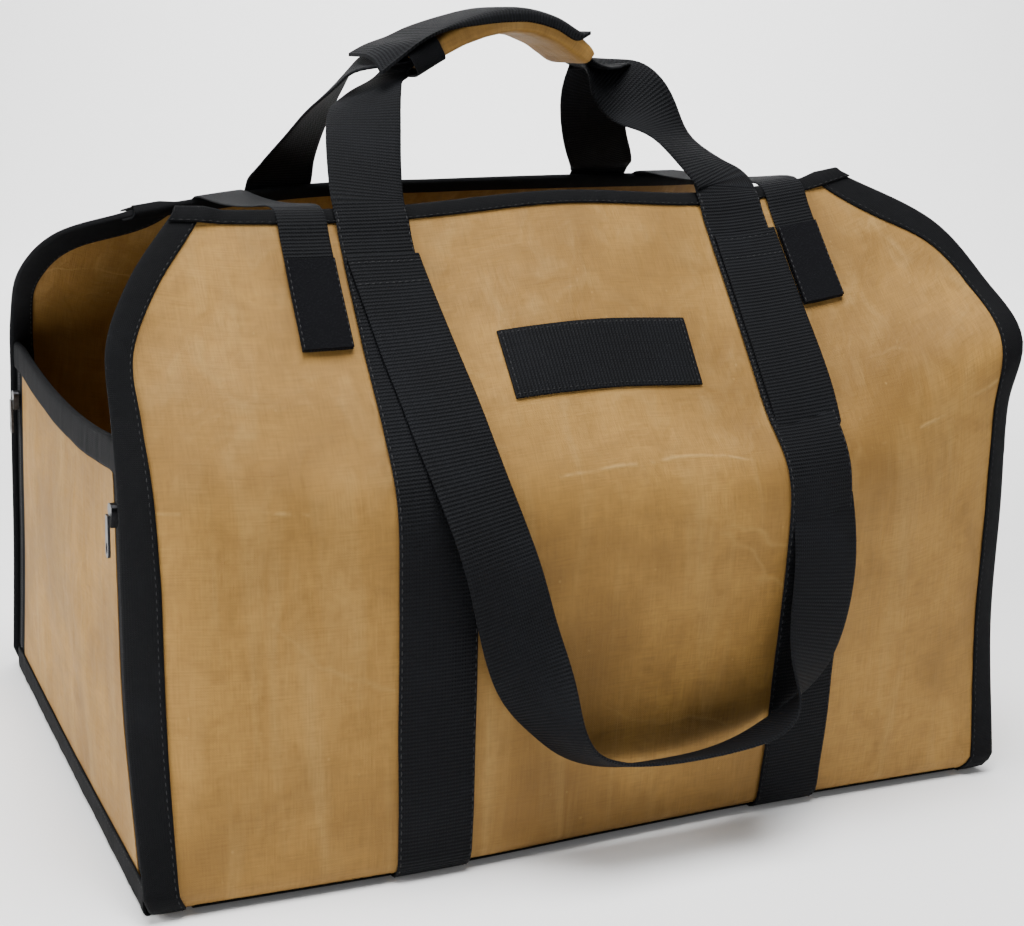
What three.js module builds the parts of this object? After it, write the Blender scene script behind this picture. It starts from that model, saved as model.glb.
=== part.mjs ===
// Canvas log carrier: a waxed canvas wrap with tapered top corners, zipped end panels, webbing
// base straps that rise into two short handles, two long hanging loops and two closure straps.
// Millimetres, +Z up, front towards -Y, origin on the floor under the middle of the bag.
import * as THREE from "three";

// Driving dimensions
const carrierWidth = 483;
const carrierDepth = 350;
const foldHeight = 188;
const topHeight = 310;
const topOpening = 140;
const footRadius = 9;
const cornerCurl = 18;
const canvasThickness = 1.8;
const bindingWidth = 14;
const topBindingWidth = 8;
const bindingThickness = 1;
const webbingWidth = 38;
const webbingThickness = 1.8;
const strapSpacing = 206;
const handleRise = 105;
const gripLength = 107;
const gripShift = -6.5;
const gripRunOut = 9;
const gripSpread = 3;
const gripPadThickness = 3;
const flapThickness = 1.8;
const flapOverhang = 7;
const cuffLength = 14;
const cuffThickness = 1.2;
const loopSeamDrop = 28;
const loopStandOff = 20;
const loopSag = 137;
const closureWidth = 25;
const closureOffset = 37.5;
const closureReach = 82;
const closureThickness = 1.6;
const hookPatchLength = 52;
const hookPatchThickness = 1.2;
const closureAnchor = 60;
const closureSag = 4;
const labelWidth = 106;
const labelHeight = 38;
const labelDrop = 76;
const labelThickness = 1.4;
const endPanelHeight = 209;
const scoopDepth = 12;
const endInset = 4;
const endBulge = 3;
const zipTapeWidth = 19;
const zipTapeThickness = 1.1;
const zipCoilWidth = 5;
const zipCoilHeight = 1;
const sliderLength = 11;
const sliderWidth = 8;
const sliderThickness = 3;
const sliderDrop = 12;
const pullLength = 20;
const pullWidth = 6;
const pullThickness = 1.2;
const pullEye = 3;

// Gap that every sewn piece keeps to its neighbour, and the difference below which two lengths are one
const clearance = 0.35;
const sameLength = 1e-6;

const halfDepth = carrierDepth / 2;
const halfOpening = topOpening / 2;
const strapCentre = strapSpacing / 2;
const halfCanvas = carrierWidth / 2 - bindingThickness - clearance;
const endPlane = carrierWidth / 2 - endInset;
const seatDepth = canvasThickness / 2 + clearance + bindingThickness;
const halfBase = endPlane - seatDepth - clearance;
const baseLevel = webbingThickness + clearance + canvasThickness / 2;
const hemWidth = bindingWidth + clearance;

// Places across the width at which the wall sections are given: edge, strap, middle, strap, edge
const sectionPlaces = [-1, (-2 * strapCentre) / carrierWidth, 0, (2 * strapCentre) / carrierWidth, 1];

// Wall sections. Below the fold, out is a share of half the depth and up a share of the fold height.
// Above it, out runs from the top opening (0) to the wall (1) and up from the fold (0) to the top (1).
// span is the half width at the left and the right edge, curl the share of the corner curl there.
const frontSections = [
  { name: "foot", out: [0.983, 1.01, 0.994, 0.983, 1.006], up: null,
    span: [1, 1], curl: [0, 0] },
  { name: "shin", out: [0.914, 1.0, 1.011, 1.011, 0.96], up: [0.44, 0.44, 0.44, 0.44, 0.46],
    span: [1, 1], curl: [0.9, 0.3] },
  { name: "waist", out: [0.869, 0.983, 1.017, 1.029, 0.943], up: [0.765, 0.745, 0.755, 0.755, 0.82],
    span: [1, 1], curl: [0.9, 0.3] },
  { name: "fold", out: [0.84, 0.954, 0.983, 1.011, 0.926], up: [1.02, 0.985, 0.995, 0.995, 1.12],
    span: [1, 1], curl: [0.9, 0.3] },
  { name: "shoulder", out: [0.571, 0.743, 0.781, 0.781, 0.88], up: [0.262, 0.205, 0.205, 0.238, 0.492],
    span: [1, 1], curl: [0.5, 0] },
  { name: "brow", out: [0.352, 0.457, 0.495, 0.476, 0.552], up: [0.516, 0.492, 0.516, 0.557, 0.713],
    span: [0.995, 1], curl: [0, 0] },
  { name: "crown", out: [0.19, 0.21, 0.238, 0.229, 0.286], up: [0.738, 0.754, 0.795, 0.828, 0.96],
    span: [0.935, 0.935], curl: [0, 0] },
  { name: "rim", out: [0, 0, 0, 0, 0], up: [0.975, 0.984, 1.057, 1.057, 1.25],
    span: [0.828, 0.735], curl: [0, 0] },
];
const backSections = [
  { name: "foot", out: [0.983, 0.994, 0.994, 0.994, 0.983], up: null,
    span: [1, 1], curl: [0, 0] },
  { name: "shin", out: [0.937, 1.0, 1.006, 1.0, 0.949], up: [0.44, 0.44, 0.44, 0.44, 0.45],
    span: [1, 1], curl: [0.3, 0.3] },
  { name: "waist", out: [0.914, 0.989, 1.011, 1.0, 0.926], up: [0.755, 0.755, 0.755, 0.755, 0.78],
    span: [1, 1], curl: [0.3, 0.3] },
  { name: "fold", out: [0.891, 0.96, 0.98, 0.97, 0.909], up: [1.02, 0.99, 0.995, 0.995, 1.06],
    span: [1, 1], curl: [0.3, 0.3] },
  { name: "shoulder", out: [0.762, 0.762, 0.771, 0.77, 0.79], up: [0.287, 0.205, 0.21, 0.22, 0.36],
    span: [1, 1], curl: [0.2, 0.2] },
  { name: "brow", out: [0.476, 0.476, 0.486, 0.48, 0.52], up: [0.549, 0.5, 0.516, 0.53, 0.62],
    span: [0.995, 1], curl: [0, 0] },
  { name: "crown", out: [0.267, 0.219, 0.24, 0.235, 0.26], up: [0.73, 0.754, 0.785, 0.8, 0.85],
    span: [0.93, 0.93], curl: [0, 0] },
  { name: "rim", out: [0.22, 0, 0, 0, 0], up: [0.76, 0.967, 1.01, 1.04, 1.06],
    span: [0.76, 0.79], curl: [0, 0] },
];
const foldSection = 3;
const curlReach = 0.12;
const curlPower = 1.5;
// Share of the slope's height over which one step of the taper runs
const taperRun = 0.62;

// Front handle from strap to grip and from grip to strap. Along is a share of half the strap
// spacing, out of half the top opening, up of the handle rise; face is the direction in which the
// webbing's inner edge lies, as shares across, back and up.
const frontHandle = {
  left: [
    { along: -0.98, out: -0.86, up: 0.14, face: [1, -0.05, 0] },
    { along: -0.935, out: -0.64, up: 0.3, face: [0.97, -0.2, 0.05] },
    { along: -0.865, out: -0.38, up: 0.45, face: [0.8, -0.5, 0.15] },
    { along: -0.77, out: -0.14, up: 0.52, face: [0.45, -0.85, 0.2] },
  ],
  right: [
    { along: 0.66, out: -0.12, up: 0.54, face: [-0.3, -0.93, 0] },
    { along: 0.76, out: -0.35, up: 0.43, face: [-0.55, -0.75, -0.3] },
    { along: 0.85, out: -0.61, up: 0.31, face: [-0.6, -0.75, 0] },
    { along: 0.94, out: -0.88, up: 0.19, face: [-0.95, -0.3, -0.05] },
  ],
};
const backHandle = {
  left: [
    { along: -0.99, out: 0.88, up: 0.1, face: [0.93, 0.35, 0] },
    { along: -0.94, out: 0.68, up: 0.27, face: [0.78, 0.62, 0.05] },
    { along: -0.87, out: 0.42, up: 0.47, face: [0.6, 0.78, 0.1] },
    { along: -0.79, out: 0.16, up: 0.62, face: [0.3, 0.9, 0.15] },
  ],
  right: [
    { along: 0.65, out: 0.12, up: 0.68, face: [-0.25, 0.95, 0.02] },
    { along: 0.69, out: 0.36, up: 0.51, face: [-0.8, 0.5, 0.1] },
    { along: 0.8, out: 0.6, up: 0.3, face: [-0.95, 0.28, 0] },
    { along: 0.95, out: 0.86, up: 0.14, face: [-1, 0.05, 0] },
  ],
};

// Grip arch from left to right: along is a share of the grip length, up of the handle rise,
// drop the share of the flap's overhang beside the pad
const gripArch = [
  { along: -0.5, up: 0.66, drop: 0 },
  { along: -0.36, up: 0.745, drop: 0 },
  { along: -0.2, up: 0.825, drop: 0.6 },
  { along: -0.02, up: 0.875, drop: 1 },
  { along: 0.14, up: 0.875, drop: 1 },
  { along: 0.3, up: 0.825, drop: 0.9 },
  { along: 0.42, up: 0.75, drop: 0.6 },
  { along: 0.5, up: 0.69, drop: 0.3 },
];
const flapEnds = {
  left: [
    { along: -0.78, up: 0.74, drop: 0 },
    { along: -0.64, up: 0.8, drop: 0 },
  ],
  right: [{ along: 0.55, up: 0.77, drop: 0 }],
};

// Loop that hangs below the fold: along is a share of half the strap spacing, out of the stand-off
// beyond the wall, down of the sag below the fold; face as for the handles
const loopHang = [
  { along: -0.82, out: 0.35, down: 0.02, face: [1, 0, -0.12] },
  { along: -0.76, out: 0.6, down: 0.2, face: [0.98, 0, -0.18] },
  { along: -0.67, out: 0.75, down: 0.47, face: [0.97, -0.1, -0.22] },
  { along: -0.59, out: 0.9, down: 0.65, face: [0.85, -0.45, -0.25] },
  { along: -0.49, out: 1.05, down: 0.82, face: [0.5, -0.85, -0.05] },
  { along: -0.36, out: 1.12, down: 0.93, face: [0.15, -0.93, 0.3] },
  { along: -0.12, out: 1.15, down: 0.99, face: [0, -0.92, 0.4] },
  { along: 0.16, out: 1.15, down: 1.0, face: [0, -0.92, 0.4] },
  { along: 0.44, out: 1.15, down: 0.99, face: [0, -0.92, 0.4] },
  { along: 0.68, out: 1.12, down: 0.95, face: [-0.15, -0.93, 0.3] },
  { along: 0.84, out: 1.05, down: 0.86, face: [-0.55, -0.83, 0.1] },
  { along: 0.93, out: 0.9, down: 0.72, face: [-0.92, -0.38, 0] },
  { along: 0.99, out: 0.75, down: 0.53, face: [-1, -0.05, 0.1] },
  { along: 1.02, out: 0.6, down: 0.24, face: [-1, 0, 0.05] },
  { along: 1.03, out: 0.35, down: 0.02, face: [-1, 0, 0.02] },
];
// Sideways shift of each loop leg where it lies on the slope, seam to fold, as shares of half the spacing
const loopLeft = { seam: -0.99, fold: -0.84 };
const loopRight = { seam: 1.02, fold: 1.03 };

// Finishes
const finish = {
  canvas: { color: 0xb98f4f, roughness: 0.72, metalness: 0 },
  webbing: { color: 0x1b1d22, roughness: 0.85, metalness: 0 },
  binding: { color: 0x141414, roughness: 0.9, metalness: 0 },
  hook: { color: 0x0e0f12, roughness: 1, metalness: 0 },
  tape: { color: 0x17181b, roughness: 0.9, metalness: 0 },
  metal: { color: 0x6f7073, roughness: 0.35, metalness: 1 },
};

const carrier = new THREE.Group();
carrier.name = "canvas_log_carrier";

function addPiece(name, geometry, look) {
  const mesh = new THREE.Mesh(geometry, new THREE.MeshStandardMaterial(finish[look]));
  mesh.name = name;
  carrier.add(mesh);
}

function lerp(a, b, share) {
  return a + (b - a) * share;
}

// Value at x on a smooth curve through the given places
function smoothAt(places, values, x) {
  let cell = 0;
  while (cell < places.length - 2 && x > places[cell + 1]) cell += 1;
  const slope = (i) => {
    const before = Math.max(i - 1, 0);
    const after = Math.min(i + 1, places.length - 1);
    return (values[after] - values[before]) / (places[after] - places[before]);
  };
  const width = places[cell + 1] - places[cell];
  const t = (x - places[cell]) / width;
  const rest = 1 - t;
  return (
    values[cell] * (1 + 2 * t) * rest * rest +
    slope(cell) * width * t * rest * rest +
    values[cell + 1] * (3 - 2 * t) * t * t -
    slope(cell + 1) * width * t * t * rest
  );
}

// Direction in which a cell's splitting corner lies furthest
const splitLean = new THREE.Vector3(1, -0.3, 0.5);

// A closed body between a low and a high sheet of points, given row by row. Each cell is split at
// the corner that lies furthest in one fixed direction, so that stacked sheets fold alike.
function slab(rows) {
  const count = rows[0].low.length;
  const positions = [];
  for (const row of rows) {
    for (const point of [...row.low, ...row.high]) positions.push(point.x, point.y, point.z);
  }
  const low = (i, j) => i * 2 * count + j;
  const high = (i, j) => low(i, j) + count;
  const triangles = [];
  const reach = (i) => new THREE.Vector3().fromArray(positions, 3 * i).dot(splitLean);
  const quad = (a, b, c, d) => {
    const furthest = Math.max(reach(a), reach(b), reach(c), reach(d));
    const split = reach(a) === furthest || reach(c) === furthest;
    triangles.push(...(split ? [[a, b, c], [a, c, d]] : [[b, c, d], [b, d, a]]));
  };
  const last = rows.length - 1;
  for (let i = 0; i < last; i += 1) {
    for (let j = 0; j < count - 1; j += 1) {
      quad(high(i, j), high(i + 1, j), high(i + 1, j + 1), high(i, j + 1));
      quad(low(i, j + 1), low(i + 1, j + 1), low(i + 1, j), low(i, j));
    }
    quad(low(i, 0), low(i + 1, 0), high(i + 1, 0), high(i, 0));
    quad(high(i, count - 1), high(i + 1, count - 1), low(i + 1, count - 1), low(i, count - 1));
  }
  for (let j = 0; j < count - 1; j += 1) {
    quad(low(0, j), high(0, j), high(0, j + 1), low(0, j + 1));
    quad(low(last, j + 1), high(last, j + 1), high(last, j), low(last, j));
  }
  return facingOut(positions, triangles);
}

// Geometry of the triangles, turned over if they enclose a negative volume
function facingOut(positions, triangles) {
  const corner = (i) => new THREE.Vector3().fromArray(positions, 3 * i);
  let volume = 0;
  for (const [a, b, c] of triangles) volume += corner(a).dot(corner(b).cross(corner(c)));
  const turned = volume < 0 ? triangles.map(([a, b, c]) => [a, c, b]) : triangles;
  const geometry = new THREE.BufferGeometry();
  geometry.setAttribute("position", new THREE.Float32BufferAttribute(positions, 3));
  geometry.setIndex(turned.flat());
  geometry.computeVertexNormals();
  return geometry;
}

function offset(point, normal, distance) {
  return point.clone().addScaledVector(normal, distance);
}

// Columns of the wrap from left to right. A fixed column keeps its place; an edge column lies at a
// share of the way from the closure strap's outer side to the tapered edge, hem the binding's line.
const closureCentre = strapCentre + closureOffset;
const closureOuter = closureCentre + closureWidth / 2;
const closureInner = closureCentre - closureWidth / 2;
const fixedPlaces = [
  closureOuter,
  closureInner,
  strapCentre + webbingWidth / 2,
  strapCentre,
  strapCentre - webbingWidth / 2,
  labelWidth / 2,
];
const edgeColumns = ["edge", "hem", "between"];
const columns = [
  ...edgeColumns.map((kind) => ({ kind, side: -1 })),
  ...fixedPlaces.map((place) => ({ kind: "fixed", place: -place })),
  { kind: "fixed", place: 0 },
  ...[...fixedPlaces].reverse().map((place) => ({ kind: "fixed", place })),
  ...[...edgeColumns].reverse().map((kind) => ({ kind, side: 1 })),
];
const columnCount = columns.length;

function columnAt(place) {
  return columns.findIndex(
    (column) => column.kind === "fixed" && Math.abs(column.place - place) < sameLength
  );
}

// Factor by which the hem is wider across where the edge line leans, on the taper
function edgeLean(sections, side, index) {
  const pick = side < 0 ? 0 : 1;
  const before = sections[Math.max(index - 1, 0)].span[pick];
  const after = sections[Math.min(index + 1, sections.length - 1)].span[pick];
  const rise = Math.abs(before - after) * halfCanvas;
  const run = (topHeight - foldHeight) * taperRun;
  return Math.hypot(1, rise / run);
}

function columnPlace(column, sections, index) {
  if (column.kind === "fixed") return column.place;
  const pick = column.side < 0 ? 0 : 1;
  const edge = halfCanvas * sections[index].span[pick];
  const hem = edge - hemWidth * edgeLean(sections, column.side, index);
  if (column.kind === "edge") return column.side * edge;
  if (column.kind === "hem") return column.side * hem;
  return (column.side * (hem + closureOuter)) / 2;
}

// Point of one wall section on one column
function sectionPoint(sections, index, column, facing) {
  const section = sections[index];
  const x = columnPlace(column, sections, index);
  const across = (2 * x) / carrierWidth;
  const out = smoothAt(sectionPlaces, section.out, across);
  const pick = x < 0 ? 0 : 1;
  const nearEdge = Math.max(0, (Math.abs(x) / halfCanvas - 1 + curlReach) / curlReach);
  const curl = cornerCurl * section.curl[pick] * nearEdge ** curlPower;
  const below = index <= foldSection;
  const depth = below ? out * halfDepth : lerp(halfOpening, halfDepth, out);
  if (!section.up) return new THREE.Vector3(x, facing * depth, baseLevel + footRadius);
  const up = smoothAt(sectionPlaces, section.up, across);
  const height = below ? up * foldHeight : lerp(foldHeight, topHeight, up);
  return new THREE.Vector3(x, facing * (depth - curl), height);
}

// Curve of one column from the rim down to the foot
function columnCurve(sections, column, facing) {
  const points = sections.map((_, index) => sectionPoint(sections, index, column, facing)).reverse();
  return new THREE.CatmullRomCurve3(points, false, "centripetal");
}

// Rows of each wall: first at distances below the rim, then at shares of what is left to the foot
const rimRows = [
  0,
  topBindingWidth + clearance,
  loopSeamDrop,
  (loopSeamDrop + labelDrop) / 2,
  labelDrop,
  labelDrop + labelHeight / 2,
  labelDrop + labelHeight,
];
const lowerShares = [0.08, 0.16, 0.235, 0.31, 0.4, 0.54, 0.7, 0.86, 1];
const wallRowCount = rimRows.length + lowerShares.length;

function wallRows(sections, facing) {
  const curves = columns.map((column) => columnCurve(sections, column, facing));
  const reach = rimRows[rimRows.length - 1];
  const rows = [];
  for (let row = 0; row < wallRowCount; row += 1) {
    rows.push(
      curves.map((curve) => {
        const length = curve.getLength();
        const share = lowerShares[row - rimRows.length];
        const distance = row < rimRows.length ? rimRows[row] : lerp(reach, length, share);
        return curve.getPointAt(Math.min(distance / length, 1));
      })
    );
  }
  return rows;
}

// Rows of the base between the two walls' feet; the two straps meet at its middle
const joinShare = clearance / carrierDepth;
const baseShares = [0.18, 0.35, 0.5 - joinShare, 0.5 + joinShare, 0.65, 0.82];

function baseRows(frontFoot, backFoot) {
  const corner = (point, turn) => {
    const inward = -Math.sign(point.y) * footRadius * (1 - Math.cos(turn));
    const x = lerp(point.x, basePlace(point.x), turn / (Math.PI / 2));
    return new THREE.Vector3(x, point.y + inward, point.z - footRadius * Math.sin(turn));
  };
  const quarter = Math.PI / 2;
  const frontCorner = [quarter / 2, quarter].map((turn) => frontFoot.map((point) => corner(point, turn)));
  const backCorner = [quarter, quarter / 2].map((turn) => backFoot.map((point) => corner(point, turn)));
  const flat = baseShares.map((share) =>
    frontCorner[1].map((point, column) => point.clone().lerp(backCorner[0][column], share))
  );
  return [...frontCorner, ...flat, ...backCorner];
}

function basePlace(x) {
  return Math.sign(x) * Math.min(Math.abs(x), halfBase);
}

// The whole wrap as a grid, from the front rim under the base to the back rim
const frontRows = wallRows(frontSections, -1);
const backRows = wallRows(backSections, 1).reverse();
const floorRows = baseRows(frontRows[frontRows.length - 1], backRows[0]);
const wrap = [...frontRows, ...floorRows, ...backRows];
const rowCount = wrap.length;
const wrapNormals = wrap.map((row, i) =>
  row.map((_, j) => {
    const down = wrap[Math.min(i + 1, rowCount - 1)][j].clone().sub(wrap[Math.max(i - 1, 0)][j]);
    const across = wrap[i][Math.min(j + 1, columnCount - 1)].clone().sub(wrap[i][Math.max(j - 1, 0)]);
    return down.cross(across).normalize();
  })
);
const backRow = (row) => rowCount - 1 - row;

// Piece of sheet that follows the wrap over a run of rows and columns, between two lifts
function sheetOnWrap(rows, across, low, high) {
  return rows.map((i) => ({
    low: across.map((j) => offset(wrap[i][j], wrapNormals[i][j], low(i))),
    high: across.map((j) => offset(wrap[i][j], wrapNormals[i][j], high(i))),
  }));
}

function range(from, to) {
  const step = from <= to ? 1 : -1;
  return Array.from({ length: Math.abs(to - from) + 1 }, (_, i) => from + i * step);
}

// Point on a row of the wrap at a given place across, lifted off the canvas
function rowPoint(i, x, lift) {
  let j = 0;
  while (j < columnCount - 2 && wrap[i][j + 1].x < x) j += 1;
  const share = (x - wrap[i][j].x) / (wrap[i][j + 1].x - wrap[i][j].x);
  const from = offset(wrap[i][j], wrapNormals[i][j], lift);
  const to = offset(wrap[i][j + 1], wrapNormals[i][j + 1], lift);
  return from.lerp(to, share);
}

// Canvas wrap
const canvasHalf = canvasThickness / 2;
addPiece(
  "body_canvas",
  slab(sheetOnWrap(range(0, rowCount - 1), range(0, columnCount - 1), () => -canvasHalf, () => canvasHalf)),
  "canvas"
);

// Folded tape over an edge: each station has the edge point, a point a tape's width in, and a normal
function foldedTape(stations) {
  const inner = canvasHalf + clearance;
  const outer = inner + bindingThickness;
  return slab(
    stations.map(({ edge, inside, edgeNormal, insideNormal }) => {
      const away = edge.clone().sub(inside).normalize();
      const inLine = inside.clone().lerp(edge, clearance / edge.distanceTo(inside));
      const wrapAround = (reach, lift) => [
        offset(inLine, insideNormal, lift),
        offset(edge, away, reach).addScaledVector(edgeNormal, lift),
        offset(edge, away, reach).addScaledVector(edgeNormal, -lift),
        offset(inLine, insideNormal, -lift),
      ];
      return { low: wrapAround(clearance, inner), high: wrapAround(clearance + bindingThickness, outer) };
    })
  );
}

function wrapStation(i, j, insideRow, insideColumn) {
  return {
    edge: wrap[i][j],
    inside: wrap[insideRow][insideColumn],
    edgeNormal: wrapNormals[i][j],
    insideNormal: wrapNormals[insideRow][insideColumn],
  };
}

const footRow = frontRows.length;
const sides = [
  { name: "left", side: -1, edge: 0, hem: 1 },
  { name: "right", side: 1, edge: columnCount - 1, hem: columnCount - 2 },
];
for (const { name, edge, hem } of sides) {
  const front = range(0, footRow).map((i) => wrapStation(i, edge, i, hem));
  const back = range(0, footRow).map((i) => wrapStation(backRow(i), edge, backRow(i), hem));
  addPiece(`edge_binding_front_${name}`, foldedTape(front), "binding");
  addPiece(`edge_binding_back_${name}`, foldedTape(back), "binding");
}

// Bindings of the two top edges, between the side bindings
const rimColumns = range(1, columnCount - 2);
addPiece("top_binding_front", foldedTape(rimColumns.map((j) => wrapStation(0, j, 1, j))), "binding");
addPiece(
  "top_binding_back",
  foldedTape(rimColumns.map((j) => wrapStation(backRow(0), j, backRow(1), j))),
  "binding"
);

// Lift of a strap's underside off the canvas: it rides over the top binding at the rim
function strapLift(i) {
  const onRim = i <= 1 || i >= backRow(1);
  return canvasHalf + clearance + (onRim ? bindingThickness + clearance : 0);
}

// Sections of free webbing through a table of centres and face directions
function webbingAlong(centres, faces, thickness, steps) {
  const path = new THREE.CatmullRomCurve3(centres, false, "centripetal");
  const facePath = new THREE.CatmullRomCurve3(faces, false, "catmullrom");
  const sections = [];
  for (let k = 0; k <= steps; k += 1) {
    const t = k / steps;
    const centre = path.getPoint(t);
    const tangent = path.getTangent(t);
    const lean = facePath.getPoint(t);
    const face = lean.clone().addScaledVector(tangent, -lean.dot(tangent)).normalize();
    const normal = new THREE.Vector3().crossVectors(face, tangent).normalize();
    sections.push({ centre, face, normal, thickness });
  }
  return sections;
}

function webbingRow({ centre, face, normal, thickness }, outward) {
  const points = (lift) =>
    [-1, 0, 1].map((share) =>
      offset(centre, face, (share * webbingWidth) / 2).addScaledVector(normal, lift * outward)
    );
  return { low: points(-thickness / 2), high: points(thickness / 2) };
}

function handlePoint({ along, out, up }) {
  return new THREE.Vector3(along * strapCentre, out * halfOpening, topHeight + up * handleRise);
}

// Frames along the grip arch, shared by both handles, the pad, the cuff and the flap
const gripSteps = 10;
function archPoint({ along, up }) {
  return new THREE.Vector3(gripShift + along * gripLength, 0, topHeight + up * handleRise);
}
const gripCurve = new THREE.CatmullRomCurve3(gripArch.map(archPoint), false, "centripetal");
const gripFrames = range(0, gripSteps).map((k) => {
  const tangent = gripCurve.getTangent(k / gripSteps);
  const up = new THREE.Vector3(-tangent.z, 0, tangent.x);
  return { centre: gripCurve.getPoint(k / gripSteps), up, spread: 0 };
});

// Frame a little beyond the pad's end, where the two webbings come out of it and part
function runOut(end, next) {
  const away = end.centre.clone().sub(next.centre).normalize();
  return { centre: offset(end.centre, away, gripRunOut), up: end.up, spread: gripSpread };
}

function gripMiddle({ centre, up, spread }, layer) {
  return offset(centre, up, layer + Math.sign(layer) * spread);
}

const heldFrames = [
  runOut(gripFrames[0], gripFrames[1]),
  ...gripFrames,
  runOut(gripFrames[gripSteps], gripFrames[gripSteps - 1]),
];

// Webbing sewn to the wrap over a run of rows
function strapRows(side, rows) {
  const middle = columnAt(side * strapCentre);
  const across = [middle + side, middle, middle - side];
  return sheetOnWrap(rows, across, strapLift, (i) => strapLift(i) + webbingThickness);
}

const baseMiddle = footRow + floorRows.length / 2;
const gripLayer = (webbingThickness + clearance) / 2;
const legSteps = 3;
const rimOvershoot = bindingThickness + 5 * clearance;

// Row moved on past the rim, clear of the top binding's fold
function pastRim(last, before) {
  const shift = (part) =>
    last[part].map((point, j) => {
      const ahead = point.clone().sub(before[part][j]).normalize();
      return offset(point, ahead, rimOvershoot);
    });
  return { low: shift("low"), high: shift("high") };
}

function rowMiddle(row) {
  const middle = Math.floor(row.low.length / 2);
  return row.low[middle].clone().lerp(row.high[middle], 0.5);
}

// Free rows from a strap's last row to the first frame of the grip
function handleLeg(row, places, frames, layer, face, outward) {
  const arrive = frames.map((frame) => gripMiddle(frame, layer));
  const grip = new THREE.Vector3(0, face, 0);
  const along = new THREE.Vector3(Math.sign(-rowMiddle(row).x), 0, 0);
  const centres = [rowMiddle(row), ...places.map(handlePoint), ...arrive];
  const faces = [along, ...places.map((place) => new THREE.Vector3(...place.face)), grip, grip.clone()];
  const spans = centres.length - 1;
  const sections = webbingAlong(centres, faces, webbingThickness, legSteps * spans);
  return sections.slice(1, legSteps * (spans - 1)).map((section) => webbingRow(section, outward));
}

// Carry webbing: base strap, wall strap and handle in one run, once on each side of the bag
function carryWebbing(name, rows, handle, layer, face) {
  const outward = -face;
  const climb = strapRows(-1, rows);
  const fall = strapRows(1, [...rows].reverse());
  climb.push(pastRim(climb[climb.length - 1], climb[climb.length - 2]));
  fall.unshift(pastRim(fall[0], fall[1]));
  const held = heldFrames.map((frame) => {
    const middle = gripMiddle(frame, layer);
    const points = (lift) =>
      [-1, 0, 1].map((share) => offset(middle, frame.up, lift).setY((share * face * webbingWidth) / 2));
    return { low: points(-webbingThickness / 2), high: points(webbingThickness / 2) };
  });
  const rise = handleLeg(climb[climb.length - 1], handle.left, heldFrames.slice(0, 2), layer, face, outward);
  const backwards = [...heldFrames].reverse().slice(0, 2);
  const fallPlaces = [...handle.right].reverse();
  const drop = handleLeg(fall[0], fallPlaces, backwards, layer, face, -outward).reverse();
  addPiece(name, slab([...climb, ...rise, ...held, ...drop, ...fall]), "webbing");
}

const frontRun = range(baseMiddle - 1, 0);
const backRun = range(baseMiddle, rowCount - 1);
carryWebbing("carry_webbing_front", frontRun, frontHandle, -gripLayer, -1);
carryWebbing("carry_webbing_back", backRun, backHandle, gripLayer, 1);

// Hanging loop: both ends are sewn over the wall straps, the legs lie on the slope, and below the
// fold the loop hangs clear of the wall and turns edge-on at the bottom
const seamRow = rimRows.indexOf(loopSeamDrop);
const slopeEndRow = rimRows.length + 2;
const loopLift = canvasHalf + clearance + webbingThickness + clearance;

function loopLegRows(rowOf, shift) {
  const side = Math.sign(shift.seam);
  return range(seamRow, slopeEndRow).map((row) => {
    const share = (row - seamRow) / (slopeEndRow - seamRow);
    const centre = lerp(shift.seam, shift.fold, share) * strapCentre;
    const places = [-1, 0, 1].map((step) => centre - (side * step * webbingWidth) / 2);
    const at = (lift) => places.map((place) => rowPoint(rowOf(row), place, lift));
    return { low: at(loopLift), high: at(loopLift + webbingThickness) };
  });
}

const loopSteps = 40;

function hangPoint({ along, out, down }, facing) {
  const depth = facing * (halfDepth + out * loopStandOff);
  return new THREE.Vector3(along * strapCentre, depth, foldHeight - down * loopSag);
}

function hangingLoop(name, rowOf, facing) {
  const climb = loopLegRows(rowOf, loopLeft);
  const fall = loopLegRows(rowOf, loopRight).reverse();
  const centres = loopHang.map((place) => hangPoint(place, facing));
  const faces = loopHang.map(({ face }) => new THREE.Vector3(face[0], -facing * face[1], face[2]));
  const first = new THREE.Vector3(1, 0, 0);
  const last = new THREE.Vector3(-1, 0, 0);
  const arch = webbingAlong(
    [rowMiddle(climb[climb.length - 1]), ...centres, rowMiddle(fall[0])],
    [first, ...faces, last],
    webbingThickness,
    loopSteps
  );
  const free = arch.slice(1, -1).map((section) => webbingRow(section, facing));
  addPiece(name, slab([...climb, ...free, ...fall]), "webbing");
}

hangingLoop("hanging_loop_front", (row) => row, -1);
hangingLoop("hanging_loop_back", backRow, 1);

// Grip: a padded canvas sleeve open along its top, a cuff round its left end and a flap over it.
// Section points lie on a rounded oblong of half width a and half height b, from angle to angle.
const roundness = 0.4;

function oblong(a, b, angles) {
  const stretch = (value) => Math.sign(value) * Math.abs(value) ** roundness;
  return angles.map((degrees) => {
    const angle = THREE.MathUtils.degToRad(degrees);
    return { across: a * stretch(Math.cos(angle)), up: b * stretch(Math.sin(angle)) };
  });
}

function gripRow(frame, inner, outer, lift = 0) {
  const place = ({ across, up }) => offset(frame.centre, frame.up, up + lift).setY(across);
  return { low: inner.map(place), high: outer.map(place) };
}

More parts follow.
